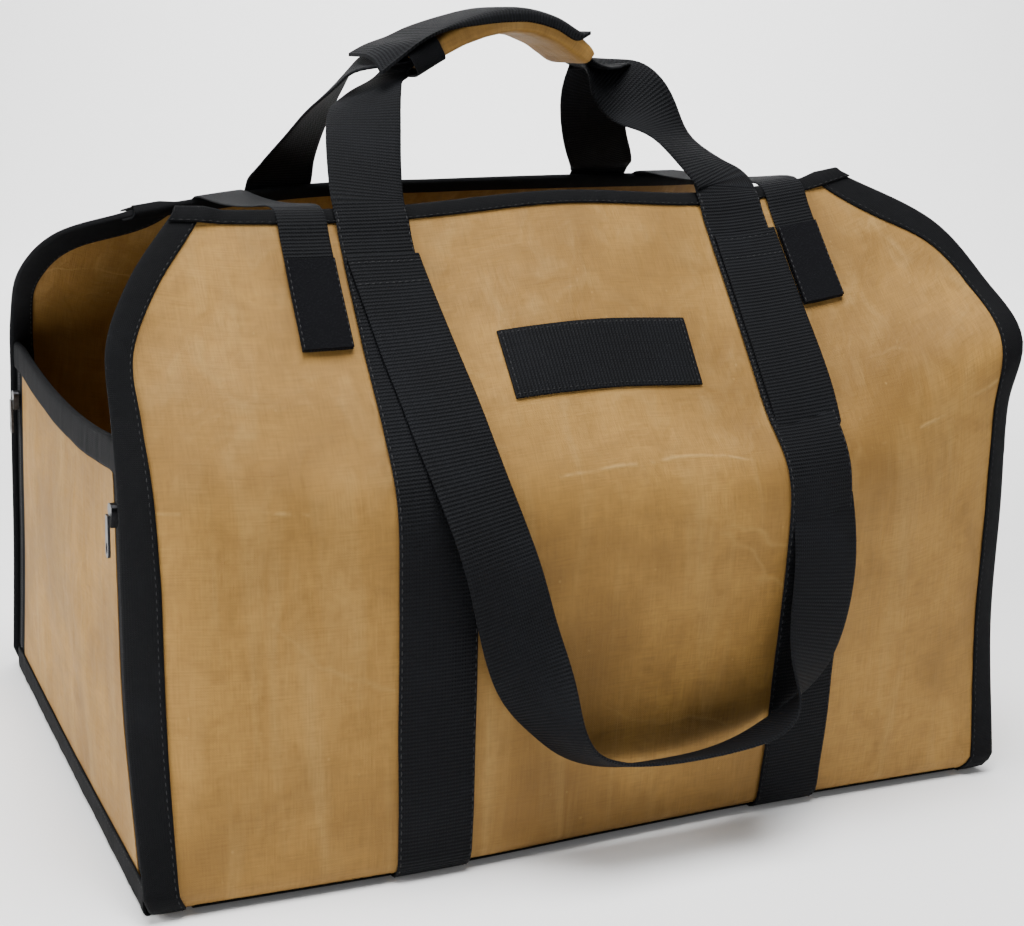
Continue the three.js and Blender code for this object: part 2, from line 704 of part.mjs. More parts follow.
// Share of its half width that the oblong still has at its corner
const cornerShare = 0.5 ** (roundness / 2);
const sleeveHalfWidth = (webbingWidth / 2 + clearance) / cornerShare;
const sleeveHalfHeight = (webbingThickness + 1.5 * clearance) / cornerShare;
const padAngles = [112, 135, 160, 200, 225, 250, 290, 315, 340, 380, 405, 428];
const padInner = oblong(sleeveHalfWidth, sleeveHalfHeight, padAngles);
const padWidth = sleeveHalfWidth + gripPadThickness;
const padHeight = sleeveHalfHeight + gripPadThickness;
const padOuter = oblong(padWidth, padHeight, padAngles);
addPiece("grip_pad", slab(gripFrames.map((frame) => gripRow(frame, padInner, padOuter))), "canvas");

const cuffAngles = [170, 200, 225, 250, 290, 315, 340, 370];
const ring = (lift) => oblong(padWidth + lift, padHeight + lift, cuffAngles);
const cuffRows = Math.max(1, Math.round((cuffLength / gripLength) * gripSteps));
const cuffFrames = gripFrames.slice(0, cuffRows + 1);
const cuffInner = ring(clearance);
const cuffOuter = ring(clearance + cuffThickness);
addPiece("grip_cuff", slab(cuffFrames.map((frame) => gripRow(frame, cuffInner, cuffOuter))), "binding");

// The flap lies flat at its ends and hangs a little over the pad's sides between them
const flapAngles = [180, 158, 135, 112, 90, 68, 45, 22, 0];

function flapDrop(share) {
  const last = gripArch.length - 1;
  const cell = Math.min(Math.floor(share * last), last - 1);
  return lerp(gripArch[cell].drop, gripArch[cell + 1].drop, share * last - cell);
}

function flapSection(lift, drop) {
  const top = padHeight + lift;
  return oblong(padWidth + lift, padHeight + lift, flapAngles).map(({ across, up }) => ({
    across,
    up: top - Math.min((top - up) * drop, flapOverhang),
  }));
}

function flapEndRow(place) {
  const frame = { centre: archPoint(place), up: new THREE.Vector3(0, 0, 1) };
  const flat = (lift) => flapSection(clearance + lift, place.drop).map((point) => ({ ...point, up: lift }));
  return gripRow(frame, flat(0), flat(flapThickness));
}

const flapRows = gripFrames.slice(1).map((frame, k) => {
  const drop = flapDrop((k + 1) / gripSteps);
  return gripRow(frame, flapSection(clearance, drop), flapSection(clearance + flapThickness, drop));
});
addPiece(
  "grip_flap",
  slab([...flapEnds.left.map(flapEndRow), ...flapRows, ...flapEnds.right.map(flapEndRow)]),
  "webbing"
);

const closureSteps = 10;

// Closure straps: sewn to the back slope, over both top bindings and the opening, down the front
const reachRow = (distance) => {
  const ahead = rimRows.findIndex((drop) => drop >= distance - sameLength);
  return ahead < 0 ? rimRows.length - 1 : ahead;
};

function closureStrap(name, side) {
  const outer = columnAt(side * closureOuter);
  const inner = columnAt(side * closureInner);
  const across = side < 0 ? [outer, inner] : [inner, outer];
  const top = (i) => strapLift(i) + closureThickness;
  const back = range(backRow(reachRow(closureAnchor)), backRow(0));
  const front = range(0, reachRow(closureReach));
  const from = sheetOnWrap(back, across, strapLift, top);
  const to = sheetOnWrap(front, across, strapLift, top);
  from.push(pastRim(from[from.length - 1], from[from.length - 2]));
  to.unshift(pastRim(to[0], to[1]));
  const start = from[from.length - 1];
  const droop = new THREE.Vector3(0, 0, -1);
  const span = range(1, closureSteps - 1).map((k) => {
    const share = k / closureSteps;
    const sag = 4 * closureSag * share * (1 - share);
    const between = (part) =>
      start[part].map((point, j) => offset(point.clone().lerp(to[0][part][j], share), droop, sag));
    return { low: between("low"), high: between("high") };
  });
  addPiece(name, slab([...from, ...span, ...to]), "webbing");
}

// Hook-and-loop end of a closure strap, sewn on its outer face
function hookPatch(name, side) {
  const outer = columnAt(side * closureOuter);
  const inner = columnAt(side * closureInner);
  const across = side < 0 ? [outer, inner] : [inner, outer];
  const rows = range(reachRow(closureReach - hookPatchLength), reachRow(closureReach));
  const low = (i) => strapLift(i) + closureThickness + clearance;
  addPiece(name, slab(sheetOnWrap(rows, across, low, (i) => low(i) + hookPatchThickness)), "hook");
}

hookPatch("hook_patch_left", -1);
hookPatch("hook_patch_right", 1);
closureStrap("closure_strap_left", -1);
closureStrap("closure_strap_right", 1);

// Blank patch of webbing on the front slope
const labelColumns = range(columnAt(-labelWidth / 2), columnAt(labelWidth / 2));
const labelRows = range(rimRows.indexOf(labelDrop), rimRows.indexOf(labelDrop + labelHeight));
const labelLift = canvasHalf + clearance;
addPiece(
  "front_patch",
  slab(sheetOnWrap(labelRows, labelColumns, () => labelLift, () => labelLift + labelThickness)),
  "webbing"
);

// Depth of the wall's edge line at a height, on one side and face of the bag
function edgeDepth(edge, rows, height) {
  const line = rows.map((row) => row[edge]).sort((a, b) => a.z - b.z);
  const above = Math.max(1, line.findIndex((point) => point.z >= height));
  const [from, to] = [line[above - 1], line[above]];
  return lerp(from.y, to.y, THREE.MathUtils.clamp((height - from.z) / (to.z - from.z), 0, 1));
}

// End panels: a zip tape at the front and the back, a canvas sheet with a scooped top between them,
// and tape folded over the scoop and over the bottom edge
const seat = seatDepth + 2 * clearance;
const panelFoot = bindingThickness + clearance;
const zipFoot = panelFoot + bindingWidth + clearance;
const zipTop = endPanelHeight - bindingWidth - clearance;
const panelShares = [0, 0.12, 0.26, 0.42, 0.58, 0.74, 0.88, 1];
const zipShares = [0, 0.12, 0.3, 0.5, 0.7, 0.86, 1];
const zipLevels = zipShares.map((share) => lerp(zipFoot, zipTop, share));

function endPanel({ name, side, edge }) {
  const outward = new THREE.Vector3(side, 0, 0);
  const faceEnds = [
    { rows: frontRows, inward: 1 },
    { rows: backRows, inward: -1 },
  ];
  const seam = ({ rows, inward }, height, inset) =>
    edgeDepth(edge, rows, Math.max(height, baseLevel + footRadius)) + inward * (seat + inset);
  const bulge = (along, height) =>
    endBulge * Math.sin(Math.PI * along) * Math.sin((Math.PI * height) / endPanelHeight);
  const point = (along, height, inset, droop) => {
    const from = seam(faceEnds[0], height, inset);
    const to = seam(faceEnds[1], height, inset);
    const z = height - 4 * droop * along * (1 - along);
    return new THREE.Vector3(side * (endPlane + bulge(along, height)), lerp(from, to, along), z);
  };
  const canvasInset = zipTapeWidth + clearance;
  const levels = [panelFoot, ...zipLevels, endPanelHeight];
  const droopAt = (height) => scoopDepth * Math.min(height / (endPanelHeight - hemWidth), 1) ** 2;
  const sheet = levels.map((height) => {
    const at = (lift) =>
      panelShares.map((along) => offset(point(along, height, canvasInset, droopAt(height)), outward, lift));
    return { low: at(-canvasHalf), high: at(canvasHalf) };
  });
  addPiece(`end_panel_${name}`, slab(sheet), "canvas");

  const tapeEdge = (height, insideHeight) => {
    const station = (along, inset) => ({
      edge: point(along, height, inset, droopAt(height)),
      inside: point(along, insideHeight, inset, droopAt(insideHeight)),
      edgeNormal: outward,
      insideNormal: outward,
    });
    const cornerInset = height < endPanelHeight / 2 ? footRadius : 0;
    const middle = panelShares.map((along) => station(along, canvasInset));
    return [station(0, cornerInset), ...middle, station(1, cornerInset)];
  };
  const scoop = tapeEdge(endPanelHeight, endPanelHeight - hemWidth);
  const base = tapeEdge(panelFoot, panelFoot + hemWidth);
  addPiece(`scoop_binding_${name}`, foldedTape(scoop), "binding");
  addPiece(`base_binding_${name}`, foldedTape(base), "binding");

  for (const { rows, inward } of faceEnds) {
    const face = inward > 0 ? "front" : "back";
    zipper(`${face}_${name}`, side, inward, (height, inset) => seam({ rows, inward }, height, inset));
  }
}

// Zip on an end panel: tape with a raised coil, a slider near its top and a hanging pull
function zipper(place, side, inward, depthAt) {
  const coilFrom = (zipTapeWidth - zipCoilWidth) / 2;
  const profile = [
    { inset: 0, rise: 0 },
    { inset: coilFrom - zipCoilHeight, rise: 0 },
    { inset: coilFrom, rise: zipCoilHeight },
    { inset: coilFrom + zipCoilWidth, rise: zipCoilHeight },
    { inset: coilFrom + zipCoilWidth + zipCoilHeight, rise: 0 },
    { inset: zipTapeWidth, rise: 0 },
  ];
  const tapeHalf = zipTapeThickness / 2;
  const rows = zipLevels.map((height) => {
    const at = (lift) =>
      profile.map(({ inset, rise }) =>
        new THREE.Vector3(side * (endPlane + lift(rise)), depthAt(height, inset), height)
      );
    return { low: at(() => -tapeHalf), high: at((rise) => tapeHalf + rise) };
  });
  addPiece(`zip_tape_${place}`, slab(rows), "tape");

  const coil = zipTapeWidth / 2;
  const sliderTop = zipTop - sliderDrop;
  const sliderX = endPlane + tapeHalf + zipCoilHeight + clearance;
  const slider = hardware(sliderOutline(), sliderThickness, side);
  slider.translate(side * sliderX, depthAt(sliderTop, coil), sliderTop - sliderLength / 2);
  addPiece(`zip_slider_${place}`, slider, "metal");
  const pull = hardware(pullOutline(), pullThickness, side);
  const pullX = sliderX + sliderThickness + clearance;
  pull.translate(side * pullX, depthAt(sliderTop, coil), sliderTop - sliderLength / 2 - pullLength / 2);
  addPiece(`zip_pull_${place}`, pull, "metal");
}

// Shares that shape the slider and the pull
const sliderNose = 0.6;
const sliderShoulder = 0.4;
const pullNeck = 0.7;
const outlineSteps = 3;

// Flat part drawn in the plane of the end panel, its thickness to the outside
function hardware(outline, thickness, side) {
  const options = { depth: thickness, bevelEnabled: false, curveSegments: outlineSteps };
  const body = new THREE.ExtrudeGeometry(outline, options);
  body.rotateX(Math.PI / 2);
  body.rotateZ(Math.PI / 2);
  if (side < 0) body.rotateZ(Math.PI);
  return body;
}

function sliderOutline() {
  const shape = new THREE.Shape();
  const half = sliderWidth / 2;
  const end = sliderLength / 2;
  shape.moveTo(-half * sliderNose, -end);
  shape.lineTo(half * sliderNose, -end);
  shape.lineTo(half, end * sliderShoulder);
  shape.quadraticCurveTo(half, end, 0, end);
  shape.quadraticCurveTo(-half, end, -half, end * sliderShoulder);
  shape.closePath();
  return shape;
}

function pullOutline() {
  const shape = new THREE.Shape();
  const half = pullWidth / 2;
  const end = pullLength / 2;
  shape.moveTo(-half, -end + half);
  shape.quadraticCurveTo(-half, -end, 0, -end);
  shape.quadraticCurveTo(half, -end, half, -end + half);
  shape.lineTo(half * pullNeck, end);
  shape.lineTo(-half * pullNeck, end);
  shape.closePath();
  const eye = new THREE.Path();
  eye.absellipse(0, -end + half + pullEye / 2, pullEye / 2, pullEye, 0, 2 * Math.PI, true);
  shape.holes.push(eye);
  return shape;
}

sides.forEach(endPanel);

export default carrier;
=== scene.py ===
"""Canvas log carrier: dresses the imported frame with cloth, webbing, tape, zips and a plain studio."""

import math
from collections import namedtuple

import bpy
import numpy as np
from bpy.props import FloatProperty, FloatVectorProperty, PointerProperty
from bpy.types import Operator, Panel, PropertyGroup
from mathutils import Matrix, Vector, noise


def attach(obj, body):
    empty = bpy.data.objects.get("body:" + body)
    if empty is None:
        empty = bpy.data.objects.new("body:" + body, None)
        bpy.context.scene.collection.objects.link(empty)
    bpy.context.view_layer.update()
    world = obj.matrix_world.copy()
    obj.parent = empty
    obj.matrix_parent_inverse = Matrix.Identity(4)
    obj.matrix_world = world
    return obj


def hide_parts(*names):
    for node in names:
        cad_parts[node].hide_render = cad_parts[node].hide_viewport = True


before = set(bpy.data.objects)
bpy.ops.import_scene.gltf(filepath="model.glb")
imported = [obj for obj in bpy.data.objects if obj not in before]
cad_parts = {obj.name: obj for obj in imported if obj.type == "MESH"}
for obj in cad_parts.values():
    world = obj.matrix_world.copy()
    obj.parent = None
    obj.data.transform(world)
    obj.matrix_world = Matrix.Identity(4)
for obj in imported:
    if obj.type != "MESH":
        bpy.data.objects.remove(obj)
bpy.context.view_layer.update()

bl_info = {
    "name": "Canvas Log Carrier",
    "version": (1, 0, 0),
    "blender": (4, 5, 0),
    "location": "View3D > Sidebar > Carrier",
    "description": "Builds a waxed canvas log carrier round its frame, with its finishes and studio",
    "category": "Object",
}

# Lengths below are in millimetres, as on the cutting table; meshes are made in metres.
METRE = 0.001
CLEARANCE = 0.35
CARRIER_WIDTH = 483
HALF_DEPTH = 175
CANVAS_HALF = 0.9
BINDING_WIDTH = 14.0
SIDE_TAPE_WIDTH = 10.5
LOW_TAPE_WIDTH = 14.5
RIM_TAPE_WIDTH = 7.5
TAPE_THICKNESS = 1.0
STRAP_THICKNESS = 1.8
STRAP_WIDTH = 38.0
FOLD_HEIGHT = 188.0
TOP_HEIGHT = 310.0
HALF_OPENING = 70.0
FOOT_RADIUS = 9.0
CORNER_CURL = 18.0
CURL_REACH = 0.12
END_PLANE = 237.5
PANEL_HEIGHT = 209.0
STRAP_CENTRE = 103.0
HANDLE_RISE = 105.0
GRIP_LENGTH = 107.0
GRIP_SHIFT = -6.5
ROW_STEP = 4.0
RIM_REACH = 112.0
INNER_REACH = 153.0
CURVE_STEPS = 8
LEVEL = STRAP_THICKNESS + CLEARANCE + CANVAS_HALF
SEAT = CANVAS_HALF + CLEARANCE + TAPE_THICKNESS + 2 * CLEARANCE

# Wall sections from foot to rim: out and up at five places across, half width and curl at each edge
Section = namedtuple("Section", "out up span curl")
STRAP_SHARE = 2 * STRAP_CENTRE / CARRIER_WIDTH
SECTION_PLACES = [-1, -STRAP_SHARE, 0, STRAP_SHARE, 1]
FRONT_SECTIONS = [
    Section([0.983, 1.01, 0.994, 0.983, 1.006], None, (1, 1), (0, 0)),
    Section([0.914, 1.0, 1.011, 1.011, 0.96], [0.44, 0.44, 0.44, 0.44, 0.46], (1, 1), (0.9, 0.3)),
    Section([0.869, 0.983, 1.017, 1.029, 0.943], [0.765, 0.745, 0.755, 0.755, 0.82], (1, 1), (0.9, 0.3)),
    Section([0.84, 0.954, 0.983, 1.011, 0.926], [1.02, 0.985, 0.995, 0.995, 1.12], (1, 1), (0.9, 0.3)),
    Section([0.571, 0.743, 0.781, 0.781, 0.88], [0.262, 0.205, 0.205, 0.238, 0.492], (1, 1), (0.5, 0)),
    Section([0.352, 0.457, 0.495, 0.476, 0.552], [0.516, 0.492, 0.516, 0.557, 0.713], (0.995, 1), (0, 0)),
    Section([0.19, 0.21, 0.238, 0.229, 0.286], [0.738, 0.754, 0.795, 0.828, 0.96], (0.935, 0.935), (0, 0)),
    Section([0, 0, 0, 0, 0], [0.975, 0.984, 1.057, 1.057, 1.25], (0.828, 0.735), (0, 0)),
]
BACK_SECTIONS = [
    Section([0.983, 0.994, 0.994, 0.994, 0.983], None, (1, 1), (0, 0)),
    Section([0.937, 1.0, 1.006, 1.0, 0.949], [0.44, 0.44, 0.44, 0.44, 0.45], (1, 1), (0.3, 0.3)),
    Section([0.914, 0.989, 1.011, 1.0, 0.926], [0.755, 0.755, 0.755, 0.755, 0.78], (1, 1), (0.3, 0.3)),
    Section([0.891, 0.96, 0.98, 0.97, 0.909], [1.02, 0.99, 0.995, 0.995, 1.06], (1, 1), (0.3, 0.3)),
    Section([0.762, 0.762, 0.771, 0.77, 0.79], [0.287, 0.205, 0.21, 0.22, 0.36], (1, 1), (0.2, 0.2)),
    Section([0.476, 0.476, 0.486, 0.48, 0.52], [0.549, 0.5, 0.516, 0.53, 0.62], (0.995, 1), (0, 0)),
    Section([0.267, 0.219, 0.24, 0.235, 0.26], [0.73, 0.754, 0.785, 0.8, 0.85], (0.93, 0.93), (0, 0)),
    Section([0.22, 0, 0, 0, 0], [0.76, 0.967, 1.01, 1.04, 1.06], (0.76, 0.79), (0, 0)),
]
FOLD_SECTION = 3

# Handle places: along, out and up as shares, and the direction of the webbing's inner edge
FRONT_HANDLE = {
    "left": [
        (-0.98, -0.86, 0.14, (1, -0.05, 0)),
        (-0.935, -0.64, 0.3, (0.97, -0.2, 0.05)),
        (-0.865, -0.38, 0.45, (0.8, -0.5, 0.15)),
        (-0.77, -0.14, 0.52, (0.45, -0.85, 0.2)),
    ],
    "right": [
        (0.55, -0.06, 0.655, (-0.15, -0.85, -0.5)),
        (0.7, -0.27, 0.54, (-0.36, -0.25, -0.9)),
        (0.83, -0.58, 0.34, (-0.62, -0.7, -0.25)),
        (0.94, -0.88, 0.19, (-0.95, -0.3, -0.05)),
    ],
}
BACK_HANDLE = {
    "left": [
        (-0.99, 0.88, 0.1, (0.93, 0.35, 0)),
        (-0.94, 0.68, 0.27, (0.78, 0.62, 0.05)),
        (-0.87, 0.42, 0.47, (0.6, 0.78, 0.1)),
        (-0.79, 0.16, 0.62, (0.3, 0.9, 0.15)),
    ],
    "right": [
        (0.65, 0.12, 0.68, (-0.25, 0.95, 0.02)),
        (0.69, 0.36, 0.51, (-0.8, 0.5, 0.1)),
        (0.8, 0.6, 0.3, (-0.95, 0.28, 0)),
        (0.95, 0.86, 0.14, (-1, 0.05, 0)),
    ],
}
# Grip arch: along, up, and how far the flap hangs over the pad's sides
GRIP_ARCH = [
    (-0.5, 0.66, 0),
    (-0.36, 0.745, 0),
    (-0.2, 0.825, 0.6),
    (-0.02, 0.875, 1),
    (0.14, 0.875, 1),
    (0.3, 0.825, 0.9),
    (0.42, 0.75, 0.6),
    (0.5, 0.69, 0.3),
]
# Flap beyond the arch: along, up, and how far its near edge hangs
FLAP_LEFT = [(-0.68, 0.675, 8), (-0.6, 0.72, 6)]
FLAP_RIGHT = [(0.44, 0.835, 0)]

# Hanging loop below the fold: along, out, down and the direction of its inner edge
LOOP_HANG = [
    (-0.76, 0.6, 0.2, (0.98, 0, -0.18)),
    (-0.67, 0.75, 0.47, (0.97, -0.1, -0.22)),
    (-0.59, 0.9, 0.65, (0.85, -0.45, -0.25)),
    (-0.49, 1.05, 0.82, (0.5, -0.85, -0.05)),
    (-0.36, 1.12, 0.93, (0.15, -0.93, 0.3)),
    (-0.12, 1.15, 0.99, (0, -0.92, 0.4)),
    (0.16, 1.15, 1.0, (0, -0.92, 0.4)),
    (0.44, 1.15, 0.99, (0, -0.92, 0.4)),
    (0.68, 1.12, 0.95, (-0.15, -0.93, 0.3)),
    (0.84, 1.05, 0.86, (-0.55, -0.83, 0.1)),
    (0.93, 0.9, 0.72, (-0.92, -0.38, 0)),
    (0.99, 0.75, 0.53, (-1, -0.05, 0.1)),
    (1.02, 0.6, 0.24, (-1, 0, 0.05)),
]
# The loop's legs are sewn from this far below the rim to that far; then it hangs and stands off
LOOP_SEAM, LOOP_LEG_END = 28.0, 137
LOOP_LEG = 132
LOOP_HANG_DEPTH, LOOP_STAND_OFF = 137.0, 20.0
LOOP_LEFT = (-0.99, -0.84)
LOOP_RIGHT = (1.02, 1.03)

# Sides of the bag: name, direction across
SIDES = [("left", -1), ("right", 1)]
WALLS = [("front", -1), ("back", 1)]


# Curves and sheets


def smooth_at(places, values, x):
    """Values at x on a smooth curve through the given places."""
    places, values = np.asarray(places, float), np.asarray(values, float)
    last = len(places) - 1
    before = np.maximum(np.arange(last + 1) - 1, 0)
    after = np.minimum(np.arange(last + 1) + 1, last)
    slope = (values[after] - values[before]) / (places[after] - places[before])
    cell = np.clip(np.searchsorted(places, x) - 1, 0, last - 1)
    width = places[cell + 1] - places[cell]
    t = (x - places[cell]) / width
    rest = 1 - t
    return (
        values[cell] * (1 + 2 * t) * rest**2
        + slope[cell] * width * t * rest**2
        + values[cell + 1] * (3 - 2 * t) * t**2
        - slope[cell + 1] * width * t**2 * rest
    )


def spline(points, steps, even=False):
    """Smooth curve through rows of numbers, with steps samples to each span."""
    points = np.asarray(points, float)
    shape = points.shape[1:]
    p = points.reshape(len(points), -1)
    p = np.vstack([2 * p[:1] - p[1:2], p, 2 * p[-1:] - p[-2:-1]])
    t = (np.arange(steps) / steps)[:, None]
    made = []
    for p0, p1, p2, p3 in zip(p, p[1:], p[2:], p[3:]):
        spans = ((p0, p1), (p1, p2), (p2, p3))
        d0, d1, d2 = (1.0 if even else max(np.linalg.norm(b - a), 1e-4) ** 0.5 for a, b in spans)
        start = ((p1 - p0) / d0 - (p2 - p0) / (d0 + d1) + (p2 - p1) / d1) * d1
        end = ((p2 - p1) / d1 - (p3 - p1) / (d1 + d2) + (p3 - p2) / d2) * d1
        cubic = 2 * p1 - 2 * p2 + start + end
        square = 3 * p2 - 3 * p1 - 2 * start - end
        made.append(p1 + start * t + square * t**2 + cubic * t**3)
    made.append(p[-2:-1])
    return np.vstack(made).reshape(-1, *shape)


def unit(vectors):
    vectors = np.asarray(vectors, float)
    return vectors / np.maximum(np.linalg.norm(vectors, axis=-1, keepdims=True), 1e-9)


def lengths_along(points):
    """Distance from the first point, along rows of points."""
    steps = np.linalg.norm(np.diff(points, axis=0), axis=-1)
    return np.concatenate([[0.0], np.cumsum(steps)])


def ripple(points, size, seed=0.0):
    """Smooth noise from -1 to 1 at each point, with the given feature size."""
    flat = np.asarray(points, float).reshape(-1, points.shape[-1]) / size
    pad = np.zeros((len(flat), 3))
    pad[:, : flat.shape[1]] = flat
    values = [noise.noise(Vector((a + seed, b - seed, c + 2 * seed))) for a, b, c in pad]
    return np.array(values).reshape(points.shape[:-1])


class Wrap:
    """The canvas cloth as a fine grid, from the front rim under the base to the back rim."""

    half = CARRIER_WIDTH / 2 - TAPE_THICKNESS - CLEARANCE
    half_base = END_PLANE - CANVAS_HALF - 2 * CLEARANCE - TAPE_THICKNESS

    def __init__(self):
        fixed = np.linspace(-INNER_REACH, INNER_REACH, 67)
        outer = np.linspace(0, 1, 19)[1:]
        self.columns = [(-1, q) for q in outer[::-1]] + [(0, x) for x in fixed] + [(1, q) for q in outer]
        front, back = self.wall(FRONT_SECTIONS, -1), self.wall(BACK_SECTIONS, 1)
        floor = self.floor(front[-1], back[-1])
        self.points = np.vstack([front, floor, back[::-1]])
        self.rows, self.count = self.points.shape[:2]
        self.foot = len(front)
        self.middle = self.foot + len(floor) / 2 - 0.5
        middle = self.count // 2
        self.length = lengths_along(self.points[:, middle])
        across = self.points[..., 0]
        self.cloth = np.stack([across, np.repeat(self.length[:, None], self.count, 1)], -1)
        self.normals = self.facing()
        self.points = self.points + self.normals * self.slack()[..., None]
        self.normals = self.facing()

    def facing(self):
        down = np.gradient(self.points, axis=0)
        across = np.gradient(self.points, axis=1)
        return unit(np.cross(down, across))

    def place(self, section, column):
        side, value = column
        if side == 0:
            return value
        edge = self.half * section.span[0 if side < 0 else 1]
        return side * (INNER_REACH + (edge - INNER_REACH) * value)

    def section_point(self, index, section, column, facing):
        x = self.place(section, column)
        across = np.array([2 * x / CARRIER_WIDTH])
        out = smooth_at(SECTION_PLACES, section.out, across)[0]
        near = max(0.0, (abs(x) / self.half - 1 + CURL_REACH) / CURL_REACH)
        curl = CORNER_CURL * section.curl[0 if x < 0 else 1] * near**1.5
        below = index <= FOLD_SECTION
        depth = out * HALF_DEPTH if below else HALF_OPENING + (HALF_DEPTH - HALF_OPENING) * out
        if section.up is None:
            return (x, facing * depth, LEVEL + FOOT_RADIUS)
        up = smooth_at(SECTION_PLACES, section.up, across)[0]
        height = up * FOLD_HEIGHT if below else FOLD_HEIGHT + (TOP_HEIGHT - FOLD_HEIGHT) * up
        return (x, facing * (depth - curl), height)

    def wall(self, sections, facing):
        """Rows from the rim down to the foot."""
        near = np.arange(0, RIM_REACH + 1, ROW_STEP)
        shares = np.linspace(0, 1, 56)[1:]
        columns = []
        for column in self.columns:
            points = [self.section_point(i, s, column, facing) for i, s in enumerate(sections)]
            curve = spline(points[::-1], 16)
            along = lengths_along(curve)
            places = np.concatenate([near, near[-1] + (along[-1] - near[-1]) * shares])
            columns.append(np.stack([np.interp(places, along, curve[:, k]) for k in range(3)], -1))
        return np.stack(columns, 1)

    def floor(self, front, back):
        """Rows of the base between the two walls' feet."""

        def corner(foot, turn):
            x = foot[:, 0]
            based = np.sign(x) * np.minimum(np.abs(x), self.half_base)
            share = turn / (math.pi / 2)
            inward = -np.sign(foot[:, 1]) * FOOT_RADIUS * (1 - math.cos(turn))
            drop = FOOT_RADIUS * math.sin(turn)
            return np.stack([x + (based - x) * share, foot[:, 1] + inward, foot[:, 2] - drop], -1)

        turns = np.linspace(0, math.pi / 2, 5)[1:]
        ahead = [corner(front, turn) for turn in turns]
        behind = [corner(back, turn) for turn in turns][::-1]
        shares = np.linspace(0, 1, 68)[1:-1]
        flat = [ahead[-1] + (behind[0] - ahead[-1]) * share for share in shares]
        return np.stack(ahead + flat + behind)

    def slack(self):
        """How far the cloth stands off its drawn shape: broad waves that die out at edges and base."""
        across, along = self.cloth[..., 0], self.cloth[..., 1]
        edge = np.clip((np.abs(self.points[:, :1, 0]) - np.abs(across)) / 45, 0, 1)
        total = self.length[-1]
        rim = np.clip(np.minimum(along, total - along) / 30, 0, 1)
        low = np.clip((self.points[..., 2] - 6) / 30, 0, 1)
        wave = 2.2 * ripple(self.cloth, 95.0, 3.1) + 1.1 * ripple(self.cloth, 42.0, 8.7)
        return wave * edge * rim * low

    def at(self, row, column, lift=0.0):
        """Points at fractional rows and columns, lifted off the middle of the cloth."""
        row, column, lift = np.broadcast_arrays(*(np.asarray(value, float) for value in (row, column, lift)))
        i = np.clip(np.floor(row).astype(int), 0, self.rows - 2)
        j = np.clip(np.floor(column).astype(int), 0, self.count - 2)
        a, b = (row - i)[..., None], (column - j)[..., None]

        def blend(grid):
            top = grid[i, j] * (1 - b) + grid[i, j + 1] * b
            low = grid[i + 1, j] * (1 - b) + grid[i + 1, j + 1] * b
            return top * (1 - a) + low * a

        return blend(self.points) + unit(blend(self.normals)) * lift[..., None]

    def column_at(self, row, x):
        """Fractional column of each place across, on one row."""
        i = min(int(row), self.rows - 2)
        a = row - i
        places = self.points[i, :, 0] * (1 - a) + self.points[i + 1, :, 0] * a
        return np.interp(x, places, np.arange(self.count))

    def row_down(self, wall, distance):
        """Fractional row at a distance below the front or back rim."""
        row = distance / ROW_STEP
        return row if wall == "front" else self.rows - 1 - row

    def edge_depth(self, wall, side, height):
        """Depth of a wall's side edge at a height."""
        column = 0 if side < 0 else self.count - 1
        rows = self.points[: self.foot] if wall == "front" else self.points[-self.foot :]
        line = rows[:, column]
        order = np.argsort(line[:, 2])
        return np.interp(height, line[order, 2], line[order, 1])


wrap = Wrap()


# Meshes


def volume_of(points, faces):
    """Six times the enclosed volume of quads, to tell which way they face."""
    a, b, c, d = (points[faces[:, k]] for k in range(4))
    return np.einsum("ij,ij->", a, np.cross(b, c)) + np.einsum("ij,ij->", a, np.cross(c, d))


def add_mesh(name, points, faces, cloth, finish, angle=50.0):
    """A mesh object that rides on the frame; cloth holds each point's place on the flat cloth."""
    points = np.asarray(points, float)
    faces = np.asarray(faces)
    if volume_of(points, faces) < 0:
        faces = faces[:, ::-1]
    mesh = bpy.data.meshes.new(name)
    mesh.from_pydata((points * METRE).tolist(), [], faces.tolist())
    layer = mesh.uv_layers.new(name="cloth")
    corners = np.zeros(len(mesh.loops), int)
    mesh.loops.foreach_get("vertex_index", corners)
    layer.data.foreach_set("uv", (np.asarray(cloth)[corners] * METRE).astype(np.float32).ravel())
    mesh.polygons.foreach_set("use_smooth", [True] * len(mesh.polygons))
    mesh.set_sharp_from_angle(angle=math.radians(angle))
    mesh.materials.append(finish)
    thing = bpy.data.objects.new(name, mesh)
    bpy.context.scene.collection.objects.link(thing)
    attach(thing, "root")
    return thing


def slab_faces(rows, count):
    """Quads of a closed body of two sheets: the low one first, then the high one."""
    grid = np.arange(rows * count).reshape(rows, count)
    high = grid + rows * count

    def quads(a, b, c, d):
        return np.stack([a.ravel(), b.ravel(), c.ravel(), d.ravel()], -1)

    return np.vstack(
        [
            quads(high[:-1, :-1], high[1:, :-1], high[1:, 1:], high[:-1, 1:]),
            quads(grid[:-1, 1:], grid[1:, 1:], grid[1:, :-1], grid[:-1, :-1]),
            quads(grid[:-1, 0], grid[1:, 0], high[1:, 0], high[:-1, 0]),
            quads(high[:-1, -1], high[1:, -1], grid[1:, -1], grid[:-1, -1]),
            quads(grid[0, :-1], high[0, :-1], high[0, 1:], grid[0, 1:]),
            quads(grid[-1, 1:], high[-1, 1:], high[-1, :-1], grid[-1, :-1]),
        ]
    )


def slab(name, low, high, cloth, finish):
    """Closed sheet between two grids of points."""
    rows, count = low.shape[:2]
    points = np.vstack([low.reshape(-1, 3), high.reshape(-1, 3)])
    both = np.vstack([cloth.reshape(-1, 2)] * 2)
    return add_mesh(name, points, slab_faces(rows, count), both, finish)


